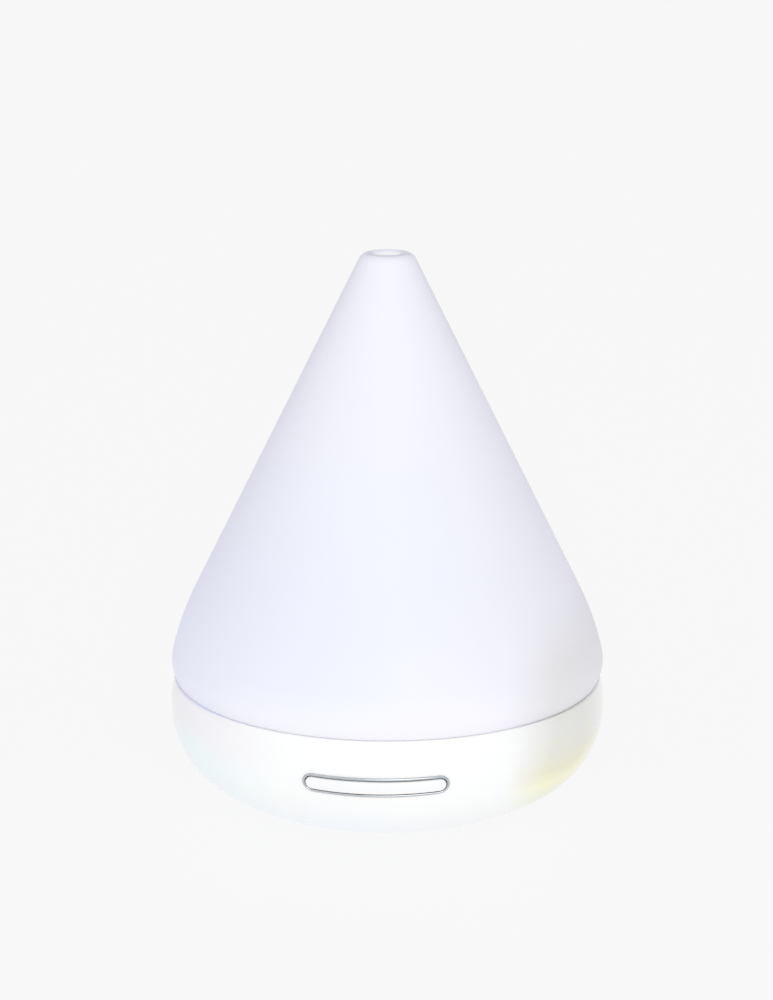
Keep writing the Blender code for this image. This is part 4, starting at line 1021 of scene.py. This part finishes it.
def make_tank(looks):
    corners = [
        (FLANGE_R, FLANGE_Z, 0.4), (FLANGE_R - TANK_LEAN, UPSTAND_Z, 0.6), (UPSTAND_R, UPSTAND_Z, 0.6),
        (UPSTAND_R, FLANGE_TOP_Z, 0.8), (BASIN_TOP_R + BASIN_LIP_R, FLANGE_TOP_Z, 1.2),
        (BASIN_TOP_R, FLANGE_TOP_Z - BASIN_LIP_H, 1.2), *FILL_LINE,
        (BASIN_FOOT_R, FLOOR_Z + BASIN_CHAMFER_H, 3.0), (BASIN_FOOT_R - BASIN_CHAMFER_R, FLOOR_Z, 3.0),
        (WELL_R + WELL_CHAMFER, FLOOR_Z, 1.2), (WELL_R, FLOOR_Z - WELL_CHAMFER, 1.0), (WELL_R, WELL_Z, 0.6),
        (WELL_HOLE_R, WELL_Z, 0.5), (WELL_HOLE_R, WELL_UNDER_Z, 0.3), (WELL_R + WELL_WALL, WELL_UNDER_Z, 0.4),
        (WELL_R + WELL_WALL, FLOOR_UNDER_Z, 0.4), (BASIN_FOOT_R, FLOOR_UNDER_Z, 3.0),
        (BASIN_FOOT_R + TANK_WALL, FLOOR_Z, 3.0), (BASIN_TOP_R + TANK_WALL, FLANGE_Z, 1.0),
    ]
    tank = lathe("water_tank", rounded(corners, 6), looks["milky_clear"], "root", ("tank",), TANK_STEPS)
    hole_place = (PROBE_X, PROBE_Y, PROBE_CUT_Z)
    probe_hole = bar("probe_hole", PROBE_HOLE_R, PROBE_CUT_L, hole_place, UP, POST_STEPS)
    apply_tools(tank, riser_steps() + post_steps() + [("DIFFERENCE", probe_hole)])


def riser_steps():
    """The air riser stands in the tank and carries the blower's air past the water."""
    low = FLOOR_UNDER_Z + BITE
    corners = [(0, low, 0), (RISER_R, low, 0), (RISER_R, RISER_TOP_Z, 0.7), (0, RISER_TOP_Z, 0)]
    riser = lathe("riser", rounded(corners, 5, False), steps=SMALL_STEPS, place=(0, RISER_Y, 0))
    bore = bar("riser_bore", RISER_BORE_R, RISER_CUT_L, (0, RISER_Y, RISER_CUT_Z))
    return [("UNION", riser), ("DIFFERENCE", bore)]


def post_steps():
    """Posts for the case screws, bosses for the transducer's ring and pegs for the lamp board."""
    steps = []
    low = PLATE_TOP_Z + GAP
    post_l = FLOOR_UNDER_Z + BITE - low
    for x, y in on_circle(POST_PITCH_R, POST_ANGLES):
        hole = bar("post_hole", POST_HOLE_R, POST_HOLE_L + PAST, (x, y, low - PAST), UP, POST_STEPS)
        steps += [("UNION", bar("post", POST_R, post_l, (x, y, low), UP, POST_STEPS)), ("DIFFERENCE", hole)]
    low = RING_TOP_Z + GAP
    boss_l = FLOOR_UNDER_Z + BITE / 2 - low
    hole_low = low - BOSS_HOLE_PAST
    for x, y in on_circle(RING_SCREW_R, RING_SCREW_ANGLES):
        hole = bar("boss_hole", BOSS_HOLE_R, BOSS_HOLE_TOP_Z - hole_low, (x, y, hole_low), UP, POST_STEPS)
        steps += [("UNION", bar("boss", BOSS_R, boss_l, (x, y, low), UP, POST_STEPS)), ("DIFFERENCE", hole)]
    peg_l = FLANGE_Z + BITE - LED_PEG_Z
    for x, y in on_circle(LED_PEG_PITCH_R, LED_PEG_ANGLES):
        steps.append(("UNION", bar("peg", LED_PEG_R, peg_l, (x, y, LED_PEG_Z), UP, PEG_STEPS)))
    return steps


def make_seal(looks):
    low = LEDGE_Z + GAP
    top = FLANGE_Z - GAP
    corners = [(SEAL_BORE_R, low, 0.2), (SEAL_R, low, 0.2), (SEAL_R, top, 0.3), (SEAL_BORE_R, top, 0.3)]
    seal = lathe("rim_seal", rounded(corners, 4), looks["silicone"], "root", ("tank_seal",))


def make_probe(looks):
    """The water level probe and the grommet that seals it in the tank's floor."""
    place = (PROBE_X, PROBE_Y, 0)
    foot = FLOOR_UNDER_Z - GROMMET_UNDER_H
    under = FLOOR_UNDER_Z - GAP
    over = FLOOR_Z + GAP
    outline = rounded([
        (GROMMET_BORE_R, foot, 0.2), (GROMMET_R, foot, 0.3), (GROMMET_R, under, 0.2),
        (GROMMET_NECK_R, under, 0.1), (GROMMET_NECK_R, over, 0.1), (GROMMET_R, over, 0.2),
        (GROMMET_R, FLOOR_Z + GROMMET_LIP_H, 0.5), (GROMMET_BORE_R, FLOOR_Z + GROMMET_TOP_H, 0.4),
    ], 4)
    gland = lathe("probe_gland", outline, looks["silicone"], "root", ("probe_grommet",), PROBE_STEPS, place)
    top = PROBE_Z + PROBE_L
    outline = rounded([(0, PROBE_Z, 0), (PROBE_R, PROBE_Z, 0.2), (PROBE_R, top, 1.2), (0, top, 0)], 6, False)
    probe = lathe("level_electrode", outline, looks["steel"], "root", ("level_probe",), PROBE_STEPS, place)


def make_hood(looks):
    """The splash hood over the riser blows out through a window at the rear."""
    x, y = (HOOD_LOW.x + HOOD_HIGH.x) / 2, (HOOD_LOW.y + HOOD_HIGH.y) / 2
    low = HOOD_LOW.z
    top = HOOD_HIGH.z
    roof = top - HOOD_ROOF
    bore = RISER_R + GAP
    radius = HOOD_HIGH.x - x
    outline = rounded([
        (0, roof, 0), (bore, roof, 1.2), (bore, low, 0.4), (radius, low, 0.4), (radius, top, 2.2),
        (0, top, 0),
    ], 6, False)
    place = (x, y, 0)
    hood = lathe("splash_hood", outline, looks["milky_clear"], "root", ("air_hood",), MEDIUM_STEPS, place)
    along = Vector((0, y, 0))
    window = slab("window", HOOD_WINDOW_LOW + along, HOOD_WINDOW_HIGH + along, HOOD_WINDOW_R)
    apply_tools(hood, [("DIFFERENCE", window)])


# ---------------------------------------------------------------- underside


def make_plate(looks):
    plate_z = PLATE_LOW.z
    corners = [
        (0, plate_z, 0), (PLATE_FLAT_R, plate_z, 3), (PLATE_BEND_R, plate_z + PLATE_BEND_H, 3),
        (PLATE_R, PLATE_SHOULDER_Z, 0.4), (PLATE_R, PLATE_EDGE_Z, 0.3),
        (PLATE_R - PLATE_RIM_W, PLATE_EDGE_Z, 0.3), (PLATE_TOP_R, PLATE_TOP_Z, 1.0), (0, PLATE_TOP_Z, 0),
    ]
    outline = rounded(corners, 6, False)
    plate = lathe("underside_plate", outline, looks["gloss_white"], "root", ("bottom_cover",), TANK_STEPS)
    low = plate_z - PAST
    steps = []
    for x, y in on_circle(POST_PITCH_R, POST_ANGLES):
        place = (x, y, low)
        steps.append(("DIFFERENCE", bar("counterbore", COUNTERBORE_R, COUNTERBORE_L, place, UP, HOLE_STEPS)))
        steps.append(("DIFFERENCE", bar("clearance", POST_HOLE_R, PLATE_CUT_L, place, UP, POST_STEPS)))
    for x, y in on_circle(FOOT_PITCH_R, FOOT_ANGLES):
        steps.append(("DIFFERENCE", bar("foot_seat", FOOT_SEAT_R, FOOT_SEAT_L, (x, y, low))))
    for i in range(VENT_COUNT):
        y = FAN_Y + VENT_PITCH * (i - (VENT_COUNT - 1) / 2)
        vent = slab("slot", (-VENT_HALF_LENGTH, y - VENT_HALF_WIDTH, low),
                    (VENT_HALF_LENGTH, y + VENT_HALF_WIDTH, PLATE_TOP_Z + PAST), VENT_END_R)
        steps.append(("DIFFERENCE", vent))
    apply_tools(plate, steps + plate_boss_steps())


def plate_boss_steps():
    """Bosses for the main board's screws, a rest for its front edge, and bosses for the blower's screws."""
    low = PLATE_TOP_Z - BITE
    steps = []
    for x, y in ((-MAIN_SCREW_X, MAIN_SCREW_Y), (MAIN_SCREW_X, MAIN_SCREW_Y), (0, MAIN_REST_Y)):
        steps.append(("UNION", bar("board_boss", MAIN_BOSS_R, MAIN_BOSS_L, (x, y, low), UP, POST_STEPS)))
        if x:
            hole = bar("board_hole", MAIN_BOSS_HOLE_R, BOSS_CUT_L, (x, y, MAIN_BOSS_HOLE_Z), UP, POST_STEPS)
            steps.append(("DIFFERENCE", hole))
    for side in (-1, 1):
        x, y = side * FAN_HOLE_PITCH, FAN_Y + side * FAN_HOLE_PITCH
        steps.append(("UNION", bar("fan_boss", FAN_BOSS_R, FAN_BOSS_L, (x, y, low), UP, POST_STEPS)))
        hole = bar("fan_hole", FAN_BOSS_HOLE_R, BOSS_CUT_L, (x, y, FAN_BOSS_HOLE_Z), UP, POST_STEPS)
        steps.append(("DIFFERENCE", hole))
    return steps


def make_foot(number, looks):
    low, high = span(f"foot_{number}")
    radius = (high.x - low.x) / 2
    centre = ((low.x + high.x) / 2, (low.y + high.y) / 2, 0)
    outline = rounded([
        (0, 0, 0), (radius - FOOT_BEVEL_R, 0, 0.4), (radius, FOOT_BEVEL_H, 0.6), (radius, high.z, 0.3),
        (0, high.z, 0),
    ], 5, False)
    replaced = (f"foot_{number}",)
    foot = lathe(f"foot_pad_{number}", outline, looks["rubber_foot"], "root", replaced, SMALL_STEPS, centre)


def make_screw(name, node, looks, head_r, head_h, shank_r):
    """A cross-head screw in place of a CAD screw that points up."""
    low, high = span(node)
    x, y = (low.x + high.x) / 2, (low.y + high.y) / 2
    under = low.z + head_h
    outline = rounded([
        (0, low.z, 0), (head_r, low.z, head_h * SCREW_CROWN), (head_r, under, 0.1), (shank_r, under, 0.1),
    ], 5, False)
    for i in range(int((high.z - under - THREAD_END) / THREAD_PITCH)):
        z = under + THREAD_START + i * THREAD_PITCH
        outline += [(shank_r * THREAD_ROOT, z), (shank_r, z + THREAD_PITCH * THREAD_FLANK),
                    (shank_r, z + THREAD_PITCH * THREAD_CREST)]
    outline += [(shank_r * SCREW_POINT_ROOT, high.z - SCREW_POINT_H), (SCREW_TIP_R, high.z - SCREW_TIP_H),
                (0, high.z)]
    screw = lathe(name, outline, looks["steel"], "root", (node,), HOLE_STEPS, (x, y, 0))
    arm = head_r * RECESS_REACH
    floor = low.z + head_h * RECESS_DEPTH
    steps = []
    for dx, dy in ((arm, RECESS_HALF_WIDTH), (RECESS_HALF_WIDTH, arm)):
        recess = slab("recess", (x - dx, y - dy, low.z - PAST), (x + dx, y + dy, floor))
        steps.append(("DIFFERENCE", recess))
    apply_tools(screw, steps)


def make_inlet(looks):
    """The power inlet: body, nose, bore and centre pin."""
    low, high = span("dc_jack")
    body = slab("inlet_body", (-JACK_HALF, low.y, JACK_Z - JACK_HALF),
                (JACK_HALF, JACK_FRONT_Y, JACK_Z + JACK_HALF), 0.5)
    body.data.materials.append(looks["black_plastic"])
    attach(body, "root")
    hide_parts("dc_jack")
    nose_y = JACK_FRONT_Y - BITE
    nose_l = high.y - nose_y
    outline = rounded([(0, 0, 0), (JACK_NOSE_R, 0, 0), (JACK_NOSE_R, nose_l, 0.5), (0, nose_l, 0)], 4, False)
    nose = lathe("nose", outline, steps=SMALL_STEPS, place=(0, nose_y, JACK_Z), direction=BACK)
    bore_y = high.y - JACK_BORE_L
    bore = bar("bore", JACK_BORE_R, JACK_BORE_L + 2 * PAST, (0, bore_y, JACK_Z), BACK)
    pin_l = JACK_PIN_L + BITE
    outline = rounded([(0, 0, 0), (JACK_PIN_R, 0, 0), (JACK_PIN_R, pin_l, 0.6), (0, pin_l, 0)], 4, False)
    pin = lathe("pin", outline, steps=POST_STEPS, place=(0, bore_y - BITE, JACK_Z), direction=BACK)
    apply_tools(body, [("UNION", nose), ("DIFFERENCE", bore), ("UNION", pin)])


# ---------------------------------------------------------------- stage, light and camera


def make_stage():
    """A pale, softly lit floor that fills the view."""
    bm = bmesh.new()
    bmesh.ops.create_circle(bm, cap_ends=True, radius=FLOOR_R, segments=MEDIUM_STEPS)
    mesh = bpy.data.meshes.new("floor")
    bm.to_mesh(mesh)
    bm.free()
    floor = bpy.data.objects.new("floor", mesh)
    bpy.context.scene.collection.objects.link(floor)
    made = Look("floor_paper", (0.06, 0.06, 0.06), 0.9, Specular_IOR_Level=0.0)
    made.set(made.shader, "Emission Color", (0.93, 0.93, 0.93, 1.0))
    made.set(made.shader, "Emission Strength", FLOOR_GLOW)
    made.bump(made.noise(90.0, 2.0), 0.05, 0.0002)
    mesh.materials.append(made.material)


def make_world():
    """Soft studio surroundings, brighter on the key's side and dim behind, so outlines darken a little."""
    world = bpy.data.worlds.new("studio")
    bpy.context.scene.world = world
    world.use_nodes = True
    tree = world.node_tree
    background = tree.nodes["Background"]
    place = tree.nodes.new("ShaderNodeTexCoord")
    parts = tree.nodes.new("ShaderNodeSeparateXYZ")
    tree.links.new(place.outputs["Generated"], parts.inputs["Vector"])
    fade = tree.nodes.new("ShaderNodeMapRange")
    tree.links.new(parts.outputs["Y"], fade.inputs["Value"])
    fade_range = (WORLD_FADE_START, WORLD_FADE_END, WORLD_FRONT, WORLD_BACK)
    for socket, number in zip(RANGE_SOCKETS, fade_range):
        fade.inputs[socket].default_value = number
    tree.links.new(fade.outputs["Result"], background.inputs["Strength"])
    background.inputs["Color"].default_value = (1.0, 1.0, 1.0, 1.0)


def make_light():
    """One large, soft lamp in front of the object and above it."""
    data = bpy.data.lights.new("key_light", "AREA")
    data.shape = "DISK"
    data.size = LIGHT_SIZE
    data.energy = LIGHT_POWER
    light = bpy.data.objects.new("key_light", data)
    bpy.context.scene.collection.objects.link(light)
    light.location = LIGHT_PLACE
    light.rotation_euler = (Vector(LIGHT_AIM) - Vector(LIGHT_PLACE)).to_track_quat("-Z", "Y").to_euler()


def make_camera():
    """A long lens, one metre from the middle of the object, a little above it and to its right."""
    data = bpy.data.cameras.new("camera")
    data.sensor_width = SENSOR_WIDTH
    data.lens = LENS
    data.shift_x = LENS_SHIFT
    camera = bpy.data.objects.new("camera", data)
    bpy.context.scene.collection.objects.link(camera)
    flat = math.cos(CAMERA_ELEVATION)
    x, y = math.sin(CAMERA_AZIMUTH) * flat, -math.cos(CAMERA_AZIMUTH) * flat
    back = Vector((x, y, math.sin(CAMERA_ELEVATION)))
    camera.location = Vector((0, 0, CAMERA_AIM_Z)) + back * CAMERA_DISTANCE
    camera.rotation_euler = (-back).to_track_quat("-Z", "Y").to_euler()
    bpy.context.scene.camera = camera


def main():
    make_camera()
    bpy.context.scene.view_settings.view_transform = "Standard"
    looks = make_looks()
    dress_cad_nodes(looks)
    make_cover(looks)
    make_mist_guide(looks)
    make_bowl(looks)
    make_bezel(looks)
    make_key(looks)
    make_tank(looks)
    make_seal(looks)
    make_probe(looks)
    make_hood(looks)
    make_plate(looks)
    for number in range(1, 5):
        make_foot(number, looks)
    for number in range(1, 5):
        make_screw(f"case_screw_{number}", f"bottom_screw_{number}", looks, *CASE_SCREW)
    make_inlet(looks)
    make_stage()
    make_world()
    make_light()


main()
